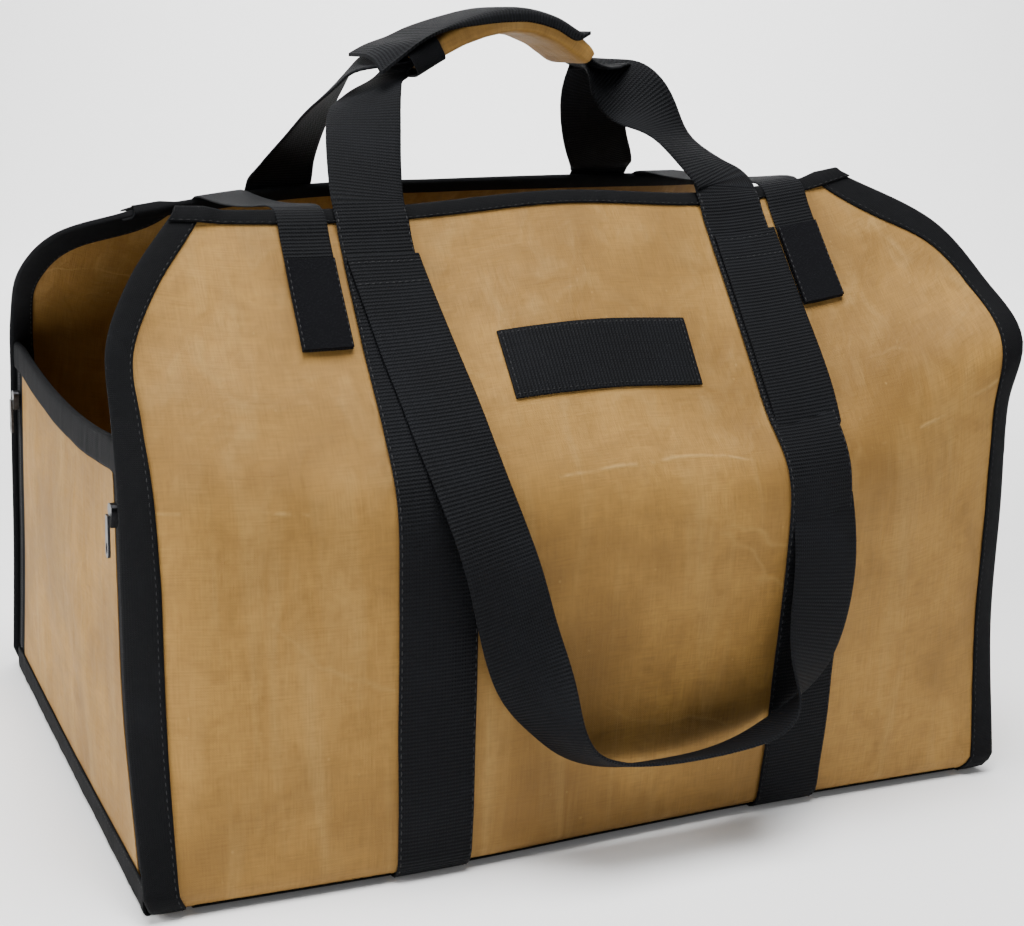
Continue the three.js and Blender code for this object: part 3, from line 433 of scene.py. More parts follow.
def place_on_cloth(rows_of_points):
    """Flat place of each point of a strip: across its first row, and along its middle."""
    across = lengths_along(rows_of_points[0])
    along = lengths_along(rows_of_points[:, rows_of_points.shape[1] // 2])
    return np.stack(np.broadcast_arrays(across[None, :], along[:, None]), -1)


# Profile of webbing: place across as a share of the half width, thickness shares below and above
WEBBING = (STRAP_WIDTH, STRAP_THICKNESS)
WEB_SHARES = np.array([-1, -0.985, -0.94, -0.8, -0.5, -0.2, 0.2, 0.5, 0.8, 0.94, 0.985, 1])
WEB_LOW = np.array([0.45, 0.2, 0.04, 0, 0, 0, 0, 0, 0, 0.04, 0.2, 0.45])
WEB_HIGH = np.array([0.55, 0.82, 0.97, 1, 1, 1, 1, 1, 1, 0.97, 0.82, 0.55])


def web_rows(place, width, thickness):
    """Low and high rows of a webbing section; place gives points for offsets across and lifts."""
    across = WEB_SHARES * width / 2
    return place(across, WEB_LOW * thickness), place(across, WEB_HIGH * thickness)


STRAP_CLIMB = 9.0


def strap_lift(row):
    """Height of a strap's underside above the cloth: it climbs over the top binding near a rim."""
    distance = min(row, wrap.rows - 1 - row) * ROW_STEP
    climb = np.clip((RIM_TAPE_WIDTH + STRAP_CLIMB - distance) / STRAP_CLIMB, 0, 1)
    step = TAPE_THICKNESS + CLEARANCE
    return CANVAS_HALF + CLEARANCE + step * climb * climb * (3 - 2 * climb)


def laid_rows(rows, centre, width, thickness, side, lift):
    """Webbing sewn flat to the wrap; centre is its place across, side turns its outer edge out."""
    made = []
    for row in rows:
        middle = centre(row) if callable(centre) else centre
        base = lift(row) if callable(lift) else lift

        def place(across, lifts):
            columns = wrap.column_at(row, middle - side * across)
            return wrap.at(row, columns, base + lifts)

        made.append(web_rows(place, width, thickness))
    return made


def free_rows(centres, faces, outward, width, thickness):
    """Webbing that hangs free along a curve; faces give the direction across it."""
    tangents = unit(np.gradient(centres, axis=0))
    faces = unit(faces - tangents * np.einsum("ij,ij->i", faces, tangents)[:, None])
    normals = outward * unit(np.cross(faces, tangents))
    made = []
    for centre, face, normal in zip(centres, faces, normals):

        def place(across, lifts):
            return centre + np.outer(across, face) + np.outer(lifts - thickness / 2, normal)

        made.append(web_rows(place, width, thickness))
    return made


def row_middle(row):
    low, high = row
    half = len(low) // 2
    return (low[half - 1] + low[half] + high[half - 1] + high[half]) / 4


def strip(name, rows, node, finish="ribbed_webbing"):
    """One piece of webbing from its rows, standing for its node."""
    low, high = (np.stack([row[k] for row in rows]) for k in range(2))
    thing = slab(name, low, high, place_on_cloth(high), finish_named(finish))
    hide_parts(node)


def soften(rows, first, last, passes):
    """Evens out the rows between two indices, so that bends run smoothly into each other."""
    stack = np.array([np.stack(row) for row in rows])
    for _ in range(passes):
        inner = (stack[:-2] + 2 * stack[1:-1] + stack[2:]) / 4
        stack[first:last] = inner[first - 1 : last - 1]
    return [(row[0], row[1]) for row in stack]


# Stitches


# Quads of one stitch: three rings of four points
STITCH_BOX = np.array(
    [[0, 1, 2, 3], [4, 5, 1, 0], [5, 6, 2, 1], [6, 7, 3, 2], [7, 4, 0, 3]]
    + [[8, 9, 5, 4], [9, 10, 6, 5], [10, 11, 7, 6], [11, 8, 4, 7], [8, 11, 10, 9]]
)
# Rings of one stitch: share of its length, size and rise as shares of its radius
STITCH_RINGS = [(0.0, 0.4, -0.5), (0.5, 1.0, 0.35), (1.0, 0.4, -0.5)]


def stitch_row(points, normals, pitch=4.2, length=2.9, radius=0.32):
    """Small raised stitches along a line of points, as points and quads."""
    along = lengths_along(points)
    count = max(int(along[-1] / pitch), 1)
    starts = (np.arange(count) + 0.5) * along[-1] / count - length / 2

    def sample(grid, where):
        return np.stack([np.interp(where, along, grid[:, k]) for k in range(3)], -1)

    rings = []
    for share, size, rise in STITCH_RINGS:
        where = starts + share * length
        centre = sample(points, where)
        normal = unit(sample(normals, where))
        ahead = unit(sample(points, where + 0.5) - sample(points, where - 0.5))
        side = unit(np.cross(normal, ahead))
        middle = centre + normal * rise * radius
        turns = [(-1, 0), (0, -1), (1, 0), (0, 1)]
        rings.append(np.stack([middle + radius * size * (a * side + b * normal) for a, b in turns], 1))
    offsets = (np.arange(count) * 12)[:, None, None]
    return np.concatenate(rings, 1).reshape(-1, 3), (STITCH_BOX[None] + offsets).reshape(-1, 4)


def stitches(name, lines, slot, **sizes):
    """All the stitches of one kind as one piece."""
    points, faces, base = [], [], 0
    for line, normals in lines:
        made, quads = stitch_row(np.asarray(line), np.asarray(normals), **sizes)
        points.append(made)
        faces.append(quads + base)
        base += len(made)
    points = np.vstack(points)
    thing = add_mesh(name, points, np.vstack(faces), points[:, :2], finish_named("black_thread"), 180.0)
    return thing


# Finishes


class Signal:
    """A socket of a finish that takes part in arithmetic; each operation adds its node."""

    def __init__(self, finish, socket):
        self.finish, self.socket = finish, socket

    def math(self, operation, *values):
        return self.finish.node("ShaderNodeMath", {"operation": operation}, dict(enumerate(values)))

    def __add__(self, other):
        return self.math("ADD", self, other)

    def __sub__(self, other):
        return self.math("SUBTRACT", self, other)

    def __rsub__(self, other):
        return self.math("SUBTRACT", other, self)

    def __mul__(self, other):
        return self.math("MULTIPLY", self, other)

    def __abs__(self):
        return self.math("ABSOLUTE", self)

    __radd__ = __add__
    __rmul__ = __mul__

    def sine(self):
        return self.math("SINE", self)

    def wave(self, pitch):
        """Even wave from 0 to 1 over a place in metres."""
        return (self * (2 * math.pi / pitch)).sine() * 0.5 + 0.5

    def clipped(self, low, high):
        """0 below low, 1 above high and even between them."""
        settings = {"clamp": True}
        values = {"Value": self, "From Min": low, "From Max": high}
        return self.finish.node("ShaderNodeMapRange", settings, values)


class Finish:
    """A procedural material with one Principled shader."""

    def __init__(self, name, **constants):
        self.material = bpy.data.materials.new(name)
        self.material.use_nodes = True
        self.tree = self.material.node_tree
        self.shader = self.tree.nodes["Principled BSDF"]
        for socket, value in constants.items():
            key = socket.replace("_", " ").title().replace("Ior", "IOR")
            self.shader.inputs[key].default_value = value

    def node(self, kind, settings=None, values=None, output=0):
        made = self.tree.nodes.new(kind)
        for key, value in (settings or {}).items():
            setattr(made, key, value)
        for key, value in (values or {}).items():
            self.feed(made.inputs[key], value)
        return Signal(self, made.outputs[output])

    def feed(self, socket, value):
        if isinstance(value, Signal):
            self.tree.links.new(value.socket, socket)
        else:
            socket.default_value = value

    def show(self, **links):
        for key, value in links.items():
            self.feed(self.shader.inputs[key.replace("_", " ").title()], value)

    def cloth_place(self):
        """Places across and along the flat cloth, in metres."""
        uv = self.node("ShaderNodeUVMap", {"uv_map": "cloth"})
        across = self.node("ShaderNodeSeparateXYZ", None, {0: uv}, "X")
        along = self.node("ShaderNodeSeparateXYZ", None, {0: uv}, "Y")
        return uv, across, along

    def spot(self):
        """Place on the object, in metres."""
        return self.node("ShaderNodeTexCoord", None, None, "Object")

    def scaled(self, place, x, y, z):
        values = {0: place, 1: (x, y, z)}
        return self.node("ShaderNodeVectorMath", {"operation": "MULTIPLY"}, values)

    def clouds(self, place, scale, detail=2.0, roughness=0.5, distortion=0.0):
        values = {"Vector": place, "Scale": scale, "Detail": detail}
        values |= {"Roughness": roughness, "Distortion": distortion}
        return self.node("ShaderNodeTexNoise", {"noise_dimensions": "3D"}, values, "Fac")

    def cells(self, place, scale, feature="F1"):
        values = {"Vector": place, "Scale": scale}
        return self.node("ShaderNodeTexVoronoi", {"feature": feature}, values, "Distance")

    def mix(self, share, first, second):
        first, second = ((*c, 1) if isinstance(c, tuple) else c for c in (first, second))
        return self.node("ShaderNodeMix", {"data_type": "RGBA"}, {0: share, 6: first, 7: second}, 2)

    def bump(self, height, strength, **under):
        """A bump of a height in metres, over the normal of another bump if one is given."""
        values = {"Height": height, "Distance": 1.0, "Strength": strength, **under}
        return self.node("ShaderNodeBump", None, values)


# Pitches of the weaves, in metres
CANVAS_THREAD = 0.0011
WEBBING_RIB = 0.0019
WEBBING_CORD = 0.0012
WEBBING_TWILL = 0.0016
TAPE_THREAD = 0.0009
# Place of the pale line along the fold on the canvas, along the flat cloth in metres
PALE_FOLD_LINE = 0.158


def canvas_finish(name, colours):
    """Waxed canvas: blotched wax, pale creases and flecks, slubbed threads and a plain weave."""
    f = Finish(name, specular_ior_level=0.3)
    spot = f.spot()
    uv, across, along = f.cloth_place()
    broad = f.clouds(spot, 8.0, 3.0, 0.55, 0.4)
    middle = f.clouds(spot, 34.0, 4.0, 0.6, 0.8)
    fine = f.clouds(spot, 190.0, 3.0, 0.6)
    streak = f.clouds(f.scaled(spot, 46.0, 46.0, 4.5), 1.0, 3.0, 0.6, 0.6)
    slub = f.clouds(f.scaled(uv, 1400.0, 60.0, 1.0), 1.0)
    slub = slub + f.clouds(f.scaled(uv, 60.0, 1400.0, 1.0), 1.0)
    tint = f.node("ShaderNodeTexNoise", None, {"Vector": spot, "Scale": 16.0, "Detail": 3.0}, "Color")
    values = {0: tint, 1: (0.05, 0.05, 0.05), 2: spot}
    bent = f.node("ShaderNodeVectorMath", {"operation": "MULTIPLY_ADD"}, values)
    crackle = 1 - f.cells(bent, 10.0, "DISTANCE_TO_EDGE").clipped(0.0, 0.016)
    crackle = crackle * f.clouds(spot, 13.0, 2.0).clipped(0.54, 0.66)
    # Patchy pale line painted along the fold
    fold = 1 - abs(along - PALE_FOLD_LINE + (broad - 0.5) * 0.03).clipped(0.0002, 0.0016)
    fold = fold * middle.clipped(0.47, 0.58)
    line = crackle * 0.22 + fold * 0.4
    fleck = (1 - f.cells(spot, 120.0).clipped(0.05, 0.12)) * fine.clipped(0.5, 0.6)
    warp, weft = across.wave(CANVAS_THREAD), along.wave(CANVAS_THREAD)
    weave = warp * (1 - weft) + weft * (1 - warp)
    base = f.mix(broad.clipped(0.36, 0.62), colours["dark"], colours["light"])
    base = f.mix(middle.clipped(0.42, 0.7) * 0.55, base, colours["dark"])
    base = f.mix(streak.clipped(0.5, 0.8) * 0.4, base, colours["pale"])
    base = f.mix(fine.clipped(0.48, 0.8) * 0.3, base, colours["dark"])
    base = f.mix(slub.clipped(0.85, 1.35) * 0.32 + weave * 0.1, base, colours["deep"])
    base = f.mix(line, base, colours["pale"])
    base = f.mix(fleck * 0.25, base, colours["pale"])
    rough = 0.6 + broad * 0.15 + fine * 0.1 + line * 0.1
    grain = f.bump(weave * 0.0001 + slub * 0.0002 + fine * 0.0002, 0.6)
    relief = f.bump(middle * 0.001 + streak * 0.0014 + line * 0.0006, 0.8, Normal=grain)
    f.show(base_color=base, roughness=rough, normal=relief)
    return f.material


def webbing_finish(name, colours):
    """Ribbed webbing: raised weft ribs across, a faint twill and lighter wear on the ribs."""
    f = Finish(name, specular_ior_level=0.12)
    _, across, along = f.cloth_place()
    spot = f.spot()
    twill = (across * (2 * math.pi / WEBBING_TWILL)).sine() * 0.5
    ribs = (along * (2 * math.pi / WEBBING_RIB) + twill).sine() * 0.5 + 0.5
    cords = across.wave(WEBBING_CORD)
    fuzz = f.clouds(spot, 900.0, 2.0, 0.7)
    worn = f.clouds(spot, 22.0, 4.0, 0.65)
    height = ribs * 0.0004 + cords * 0.00012 + fuzz * 0.0001
    base = f.mix((ribs * 0.7 + cords * 0.3).clipped(0.15, 1.0), colours["deep"], colours["light"])
    base = f.mix(worn.clipped(0.45, 0.8) * 0.45, base, colours["worn"])
    rough = 0.72 + fuzz * 0.16 - ribs * 0.06
    f.show(base_color=base, roughness=rough, normal=f.bump(height, 0.8))
    return f.material


def tape_finish(name, colours):
    """Binding tape: close plain weave with a faint lengthwise grain."""
    f = Finish(name, specular_ior_level=0.12)
    _, across, along = f.cloth_place()
    spot = f.spot()
    weave = across.wave(TAPE_THREAD) * along.wave(TAPE_THREAD)
    fuzz = f.clouds(spot, 300.0, 3.0, 0.6)
    worn = f.clouds(spot, 30.0, 4.0, 0.6)
    base = f.mix(weave * 0.5 + fuzz * 0.3, colours["deep"], colours["light"])
    base = f.mix(worn.clipped(0.55, 0.85) * 0.4, base, colours["worn"])
    relief = f.bump(weave * 0.0002 + fuzz * 0.0003 + worn * 0.0012, 0.7)
    f.show(base_color=base, roughness=0.78 + fuzz * 0.15, normal=relief)
    return f.material


def hook_finish(name, colours):
    """Hook tape: a field of tiny hooks."""
    f = Finish(name, specular_ior_level=0.1)
    spot = f.spot()
    hooks = f.cells(spot, 800.0).clipped(0.1, 0.55)
    patchy = f.clouds(spot, 60.0, 3.0)
    base = f.mix(hooks * 0.7 + patchy * 0.2, colours["light"], colours["deep"])
    f.show(base_color=base, roughness=0.9 + hooks * 0.05, normal=f.bump((1 - hooks) * 0.0003, 0.6))
    return f.material


def thread_finish(name, colour):
    """Twisted sewing thread."""
    f = Finish(name, specular_ior_level=0.4)
    twist = f.clouds(f.spot(), 1400.0, 2.0)
    base = f.mix(twist, tuple(0.6 * c for c in colour), colour)
    f.show(base_color=base, roughness=0.6 + twist * 0.15)
    return f.material


def metal_finish(name, colour):
    """Dark plated metal, brighter and smoother where it is rubbed."""
    f = Finish(name, metallic=1.0)
    rub = f.clouds(f.spot(), 420.0, 4.0, 0.6)
    base = f.mix(rub.clipped(0.35, 0.7), tuple(0.5 * c for c in colour), colour)
    f.show(base_color=base, roughness=0.26 + rub * 0.25, normal=f.bump(rub * 0.0001, 0.5))
    return f.material


def stage_finish(name, colour):
    """Plain pale studio surface."""
    glow = {"emission_color": (1, 1, 1, 1), "emission_strength": 0.05}
    f = Finish(name, specular_ior_level=0.15, **glow)
    grain = f.clouds(f.spot(), 3.0, 2.0)
    base = f.mix(grain * 0.04, colour, tuple(0.96 * c for c in colour))
    f.show(base_color=base, roughness=0.85 + grain * 0.03)
    return f.material


def shades(colour, **shares):
    """Named lighter and darker shades of a colour."""
    return {name: tuple(share * c for c in colour) for name, share in shares.items()}


def finish_named(name):
    """The carrier's finish of that name, made when it is first asked for."""
    if name in bpy.data.materials:
        return bpy.data.materials[name]
    looks = bpy.context.scene.carrier_finish
    canvas = {"light": tuple(looks.canvas_light), "pale": tuple(looks.canvas_pale)}
    canvas |= shades(looks.canvas_dark, dark=1.0, deep=0.5)
    webbing = shades(looks.webbing, light=1.0, deep=0.3, worn=1.6)
    binding = shades(looks.binding, light=1.0, deep=0.4, worn=1.8)
    hooks = {"light": binding["light"], "deep": (0.002, 0.002, 0.003)}
    makers = {
        "ochre_canvas": lambda: canvas_finish(name, canvas),
        "ribbed_webbing": lambda: webbing_finish(name, webbing),
        "binding_tape": lambda: tape_finish(name, binding),
        "hook_tape": lambda: hook_finish(name, hooks),
        "black_thread": lambda: thread_finish(name, tuple(looks.thread)),
        "plated_metal": lambda: metal_finish(name, tuple(looks.metal)),
        "studio_paper": lambda: stage_finish(name, (0.94, 0.94, 0.94)),
    }
    return makers[name]()


# Settings


COLOUR = {"subtype": "COLOR", "size": 3}


class CarrierFinish(PropertyGroup):
    """Colours of the carrier."""

    canvas_light: FloatVectorProperty(
        name="Canvas",
        description="Main colour of the waxed canvas",
        default=(0.33, 0.18, 0.041),
        **COLOUR,
    )
    canvas_dark: FloatVectorProperty(
        name="Waxed blotches",
        description="Darker, more waxed canvas",
        default=(0.185, 0.095, 0.018),
        **COLOUR,
    )
    canvas_pale: FloatVectorProperty(
        name="Pale creases",
        description="Canvas where the wax has cracked",
        default=(0.42, 0.27, 0.095),
        **COLOUR,
    )
    webbing: FloatVectorProperty(
        name="Webbing",
        description="Raised ribs of the webbing",
        default=(0.004, 0.0046, 0.0062),
        **COLOUR,
    )
    binding: FloatVectorProperty(
        name="Binding",
        description="Tape over the cloth's edges",
        default=(0.0035, 0.0039, 0.005),
        **COLOUR,
    )
    thread: FloatVectorProperty(
        name="Thread",
        description="Sewing thread",
        default=(0.007, 0.0075, 0.009),
        **COLOUR,
    )
    metal: FloatVectorProperty(
        name="Zip metal",
        description="Sliders and pulls",
        default=(0.07, 0.07, 0.075),
        **COLOUR,
    )


class CarrierSizes(PropertyGroup):
    """Sizes that the cloth work follows."""

    pucker: FloatProperty(
        name="Seam pucker",
        description="How far cloth and tape ripple at a seam",
        default=0.35 * METRE,
        min=0.0,
        unit="LENGTH",
    )
    pad_crown: FloatProperty(
        name="Pad crown",
        description="How far the grip's padding swells",
        default=1.2 * METRE,
        min=0.0,
        unit="LENGTH",
    )
    key_light: FloatProperty(
        name="Key light", description="Power of the large soft light", default=120.0, min=0.0, unit="POWER"
    )


def millimetres(value):
    return value / METRE


# Pieces


class CARRIER_OT_canvas(Operator):
    """Make the canvas body: one cloth from rim to rim, with its slack and seam puckers"""

    bl_idname = "carrier.canvas"
    bl_label = "Canvas body"

    def execute(self, context):
        pucker = millimetres(context.scene.carrier_sizes.pucker)
        across, along = wrap.cloth[..., 0], wrap.cloth[..., 1]
        edge = np.abs(wrap.points[:, :1, 0]) - np.abs(across)
        near = np.exp(-(((edge - SIDE_TAPE_WIDTH - 4) / 9) ** 2)) * (edge > SIDE_TAPE_WIDTH)
        from_strap = np.abs(np.abs(across) - STRAP_CENTRE) - STRAP_WIDTH / 2
        near = near + np.exp(-(((from_strap - 4) / 6) ** 2)) * (from_strap > 0.5)
        wave = pucker * near * ripple(wrap.cloth, 9.0, 5.3)
        lift = wrap.normals * wave[..., None]
        low = wrap.points - wrap.normals * CANVAS_HALF + lift
        high = wrap.points + wrap.normals * CANVAS_HALF + lift
        for face in (low, high):
            # The cut edges end inside the folded tapes
            face[[0, -1]] = (face[[0, -1]] + face[[1, -2]]) / 2
            face[:, [0, -1]] = (face[:, [0, -1]] + face[:, [1, -2]]) / 2
        thing = slab("canvas_body", low, high, wrap.cloth, finish_named("ochre_canvas"))
        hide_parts("body_canvas")
        return {"FINISHED"}


# Section of folded tape: distance in from the edge, then lift of its outer and inner face
TAPE_OUTER = np.array(
    [[14.0, 1.5], [13.7, 2.05], [12.5, 2.25], [8.0, 2.35], [3.0, 2.3], [0.6, 2.1], [-0.7, 1.5], [-1.3, 0.6]]
)
TAPE_INNER = np.array(
    [[14.0, 1.25], [13.5, 1.22], [12.5, 1.2], [8.0, 1.2], [3.0, 1.2], [1.4, 1.15], [0.6, 0.9], [-0.35, 0.5]]
)
# Points of that section where the tape is sewn through, on its two faces
SEWN = (2, 13)
TAPE_STITCH = {"pitch": 3.6, "length": 2.4, "radius": 0.26}
# Heights along a side tape where it starts and ends to widen, and how far the rim tape rides over it
WIDEN_FROM, WIDEN_TO = 95, 190
RIDE_OVER = 1.4


def tape_section(width, swell=0.0):
    """Both faces of folded tape of a width, mirrored round the edge."""
    scale = np.where(TAPE_OUTER[:, :1] > 1, width / BINDING_WIDTH, 1.0)
    scale = np.hstack([scale, np.ones_like(scale)])
    outer, inner = TAPE_OUTER * scale, TAPE_INNER * scale
    outer[2:6, 1] += swell
    flip = np.array([1, -1])
    return np.vstack([inner, inner[::-1] * flip]), np.vstack([outer, outer[::-1] * flip])


def folded_tape(names, stations, widths, pucker, seed):
    """Tape folded over an edge; names are its own and its node's, stations give its points."""
    rows = []
    for k, (place, width) in enumerate(zip(stations, np.broadcast_to(widths, len(stations)))):
        swell = pucker * noise.noise(Vector((k * 0.45, seed, 0.0)))
        low, high = tape_section(width, swell)
        rows.append((place(low[:, 0], low[:, 1]), place(high[:, 0], high[:, 1])))
    low, high = (np.stack([row[k] for row in rows]) for k in range(2))
    thing = slab(names[0], low, high, place_on_cloth(high), finish_named("binding_tape"))
    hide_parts(names[1])
    return rows


def side_station(row, side):
    """Place on the wrap near its side edge, at distances in from the edge."""
    column = 0 if side < 0 else wrap.count - 1
    edge = wrap.at(row, column)[0]
    above = wrap.at(max(row - 2, 0), column)[0]
    below = wrap.at(min(row + 2, wrap.rows - 1), column)[0]
    drop = wrap.at(max(row - 2, 0), column) - wrap.at(min(row + 2, wrap.rows - 1), column)
    lean = np.hypot(1, (above - below) / max(np.linalg.norm(drop[1:]), 1e-6))

    def place(inward, lift):
        inside = np.maximum(inward, 0)
        columns = wrap.column_at(row, edge - side * inside * lean)
        points = wrap.at(row, columns, lift)
        first = wrap.at(row, column)
        away = unit(first - wrap.at(row, wrap.column_at(row, edge - side * 6 * lean)))
        return points + away * np.maximum(-inward, 0)[:, None]

    return place


def rim_station(column, wall):
    """Place on the wrap near a top edge, at distances down from the rim, over the side tapes."""
    rim = 0 if wall == "front" else wrap.rows - 1
    last = wrap.count - 1
    near, next_in = (0, 1) if column < wrap.count / 2 else (last, last - 1)
    corner = wrap.at(rim, near)
    beyond = unit(corner - wrap.at(rim, next_in)) * max(0 - column, column - last, 0)
    column = min(max(column, 0), last)
    inside = abs(corner[0]) - abs(wrap.at(rim, column)[0])
    over = RIDE_OVER * np.clip((SIDE_TAPE_WIDTH + 12 - inside) / 9, 0, 1)
    along = unit(wrap.at(rim, min(column + 1, last)) - wrap.at(rim, max(column - 1, 0)))
    away = wrap.at(rim, column) - wrap.at(abs(rim - 1.5), column)
    away = unit(away - along * (away @ along))

    def place(inward, lift):
        rows = np.abs(rim - np.maximum(inward, 0) / ROW_STEP)
        points = wrap.at(rows, column, lift + np.sign(lift) * over)
        return points + beyond + away * (np.maximum(-inward, 0) + over * (inward < 0.7))[:, None]

    return place


def tape_line(rows, index):
    """Line along a tape's outer face, with its normals, for its stitches."""
    line = np.stack([row[1][index] for row in rows])
    return line, unit(line - np.stack([row[0][index] for row in rows]))


class CARRIER_OT_bindings(Operator):
    """Fold binding tape over the canvas's side edges and rims, and sew it down"""

    bl_idname = "carrier.bindings"
    bl_label = "Edge bindings"

    def execute(self, context):
        pucker = millimetres(context.scene.carrier_sizes.pucker)
        lines = []
        for wall, facing in WALLS:
            for side_name, side in SIDES:
                run = np.append(np.arange(0, wrap.foot + 2.5, 1.0), wrap.foot + 2.4)
                rows = run if wall == "front" else wrap.rows - 1 - run
                stations = [side_station(row, side) for row in rows]
                widths = np.interp(run * ROW_STEP, [WIDEN_FROM, WIDEN_TO], [SIDE_TAPE_WIDTH, LOW_TAPE_WIDTH])
                end = f"{wall}_{side_name}"
                names = (f"side_tape_{end}", f"edge_binding_{end}")
                made = folded_tape(names, stations, widths, pucker, facing + side)
                lines += [tape_line(made, SEWN[1]), tape_line(made, SEWN[0])]
            columns = np.concatenate([[-0.3], np.linspace(0, wrap.count - 1, 170), [wrap.count - 0.6]])
            stations = [rim_station(column, wall) for column in columns]
            names = (f"rim_tape_{wall}", f"top_binding_{wall}")
            made = folded_tape(names, stations, RIM_TAPE_WIDTH, pucker, facing)
            lines.append(tape_line(made, SEWN[0]))
            # Dark strip along the foot of the wall
            self.dark_line(wall)
        stitches("binding_stitches", lines, "edge_binding", **TAPE_STITCH)
        return {"FINISHED"}

    def dark_line(self, wall):
        """Narrow dark strip along a wall's foot, between the straps and the side tapes."""
        beside = STRAP_WIDTH / 2 + 2
        outer, inner, end = STRAP_CENTRE + beside, STRAP_CENTRE - beside, 218
        parts = {"left": (-end, -outer), "middle": (-inner, inner), "right": (outer, end)}
        rows = np.linspace(wrap.foot + 1, wrap.foot + 6, 9)
        rows = rows if wall == "front" else wrap.rows - 1 - rows
        for part, (start, end) in parts.items():
            places = np.linspace(start, end, 60)
            columns = [wrap.column_at(row, places) for row in rows]
            low, high = (
                np.stack([wrap.at(row, column, CANVAS_HALF + lift) for row, column in zip(rows, columns)])
                for lift in (0.15, 1.0)
            )
            name = f"foot_dark_line_{wall}_{part}"
            thing = slab(name, low, high, place_on_cloth(high), finish_named("binding_tape"))


def handle_point(along, out, up):
    return np.array([along * STRAP_CENTRE, out * HALF_OPENING, TOP_HEIGHT + up * HANDLE_RISE])


def arch_point(along, up):
    return np.array([GRIP_SHIFT + along * GRIP_LENGTH, 0, TOP_HEIGHT + up * HANDLE_RISE])


def grip_frames(steps):
    """Centres and up directions along the grip arch."""
    centres = spline([arch_point(along, up) for along, up, _ in GRIP_ARCH], steps)
    tangents = unit(np.gradient(centres, axis=0))
    return centres, np.stack([-tangents[:, 2], np.zeros(len(centres)), tangents[:, 0]], -1)


GRIP_RUN_OUT = 9.0
GRIP_SPREAD = 3.0
GRIP_LAYER = (STRAP_THICKNESS + CLEARANCE) / 2


def held_places(layer):
    """Centres of one webbing through the grip, with a run-out beyond each end."""
    centres, ups = grip_frames(2)
    first = centres[0] + unit(centres[0] - centres[1]) * GRIP_RUN_OUT
    last = centres[-1] + unit(centres[-1] - centres[-2]) * GRIP_RUN_OUT
    spread = np.sign(layer) * GRIP_SPREAD
    inside = centres + ups * layer
    return np.vstack([first + ups[0] * (layer + spread), inside, last + ups[-1] * (layer + spread)])


def rim_exit(side, wall):
    """The strap's middle at the rim and just past it."""
    rim = 0.0 if wall == "front" else wrap.rows - 1.0
    column = wrap.column_at(rim, side * STRAP_CENTRE)
    lift = strap_lift(rim) + STRAP_THICKNESS / 2
    at_rim = wrap.at(rim, column, lift)
    inside = wrap.at(abs(rim - 2), column, lift)
    return [inside, at_rim, at_rim + unit(at_rim - inside) * 4]


class CARRIER_OT_webbing(Operator):
    """Sew the carry webbing over base and walls and lead it through the grip"""

    bl_idname = "carrier.webbing"
    bl_label = "Carry webbing"

    def execute(self, context):
        lines = []
        for (wall, face), handle in zip(WALLS, (FRONT_HANDLE, BACK_HANDLE)):
            end = wrap.middle - CLEARANCE / 5
            run = np.append(np.arange(0, end, 1.0), end)
            rows = run if wall == "front" else wrap.rows - 1 - run
            climb = laid_rows(rows[::-1], -STRAP_CENTRE, *WEBBING, -1, strap_lift)
            fall = laid_rows(rows, STRAP_CENTRE, *WEBBING, 1, strap_lift)
            held = held_places(GRIP_LAYER * face)
            left, right = rim_exit(-1, wall), rim_exit(1, wall)[::-1]
            held = held[:-2] if wall == "front" else held
            centres = [*left, *[handle_point(*p[:3]) for p in handle["left"]], *held]
            centres += [*[handle_point(*p[:3]) for p in handle["right"]], *right]
            across = [(1, 0, 0)] * 3 + [p[3] for p in handle["left"]] + [(0, face, 0)] * len(held)
            across += [p[3] for p in handle["right"]] + [(-1, 0, 0)] * 3
            between = slice(CURVE_STEPS + 1, -CURVE_STEPS - 1)
            curve = spline(centres, CURVE_STEPS)[between]
            turns = spline(across, CURVE_STEPS, even=True)[between]
            free = free_rows(curve, turns, -face, *WEBBING)
            every = soften(climb + free + fall, len(climb) - 2, len(climb) + len(free) + 2, 4)
            strip(f"webbing_{wall}", every, f"carry_webbing_{wall}")
            for edge in (2, -3):
                for part in (every[: len(climb)], every[-len(fall) :]):
                    high = np.stack([row[1][edge] for row in part])
                    low = np.stack([row[0][edge] for row in part])
                    lines.append((high, unit(high - low)))
        stitches("webbing_stitches", lines, "webbing")
        return {"FINISHED"}


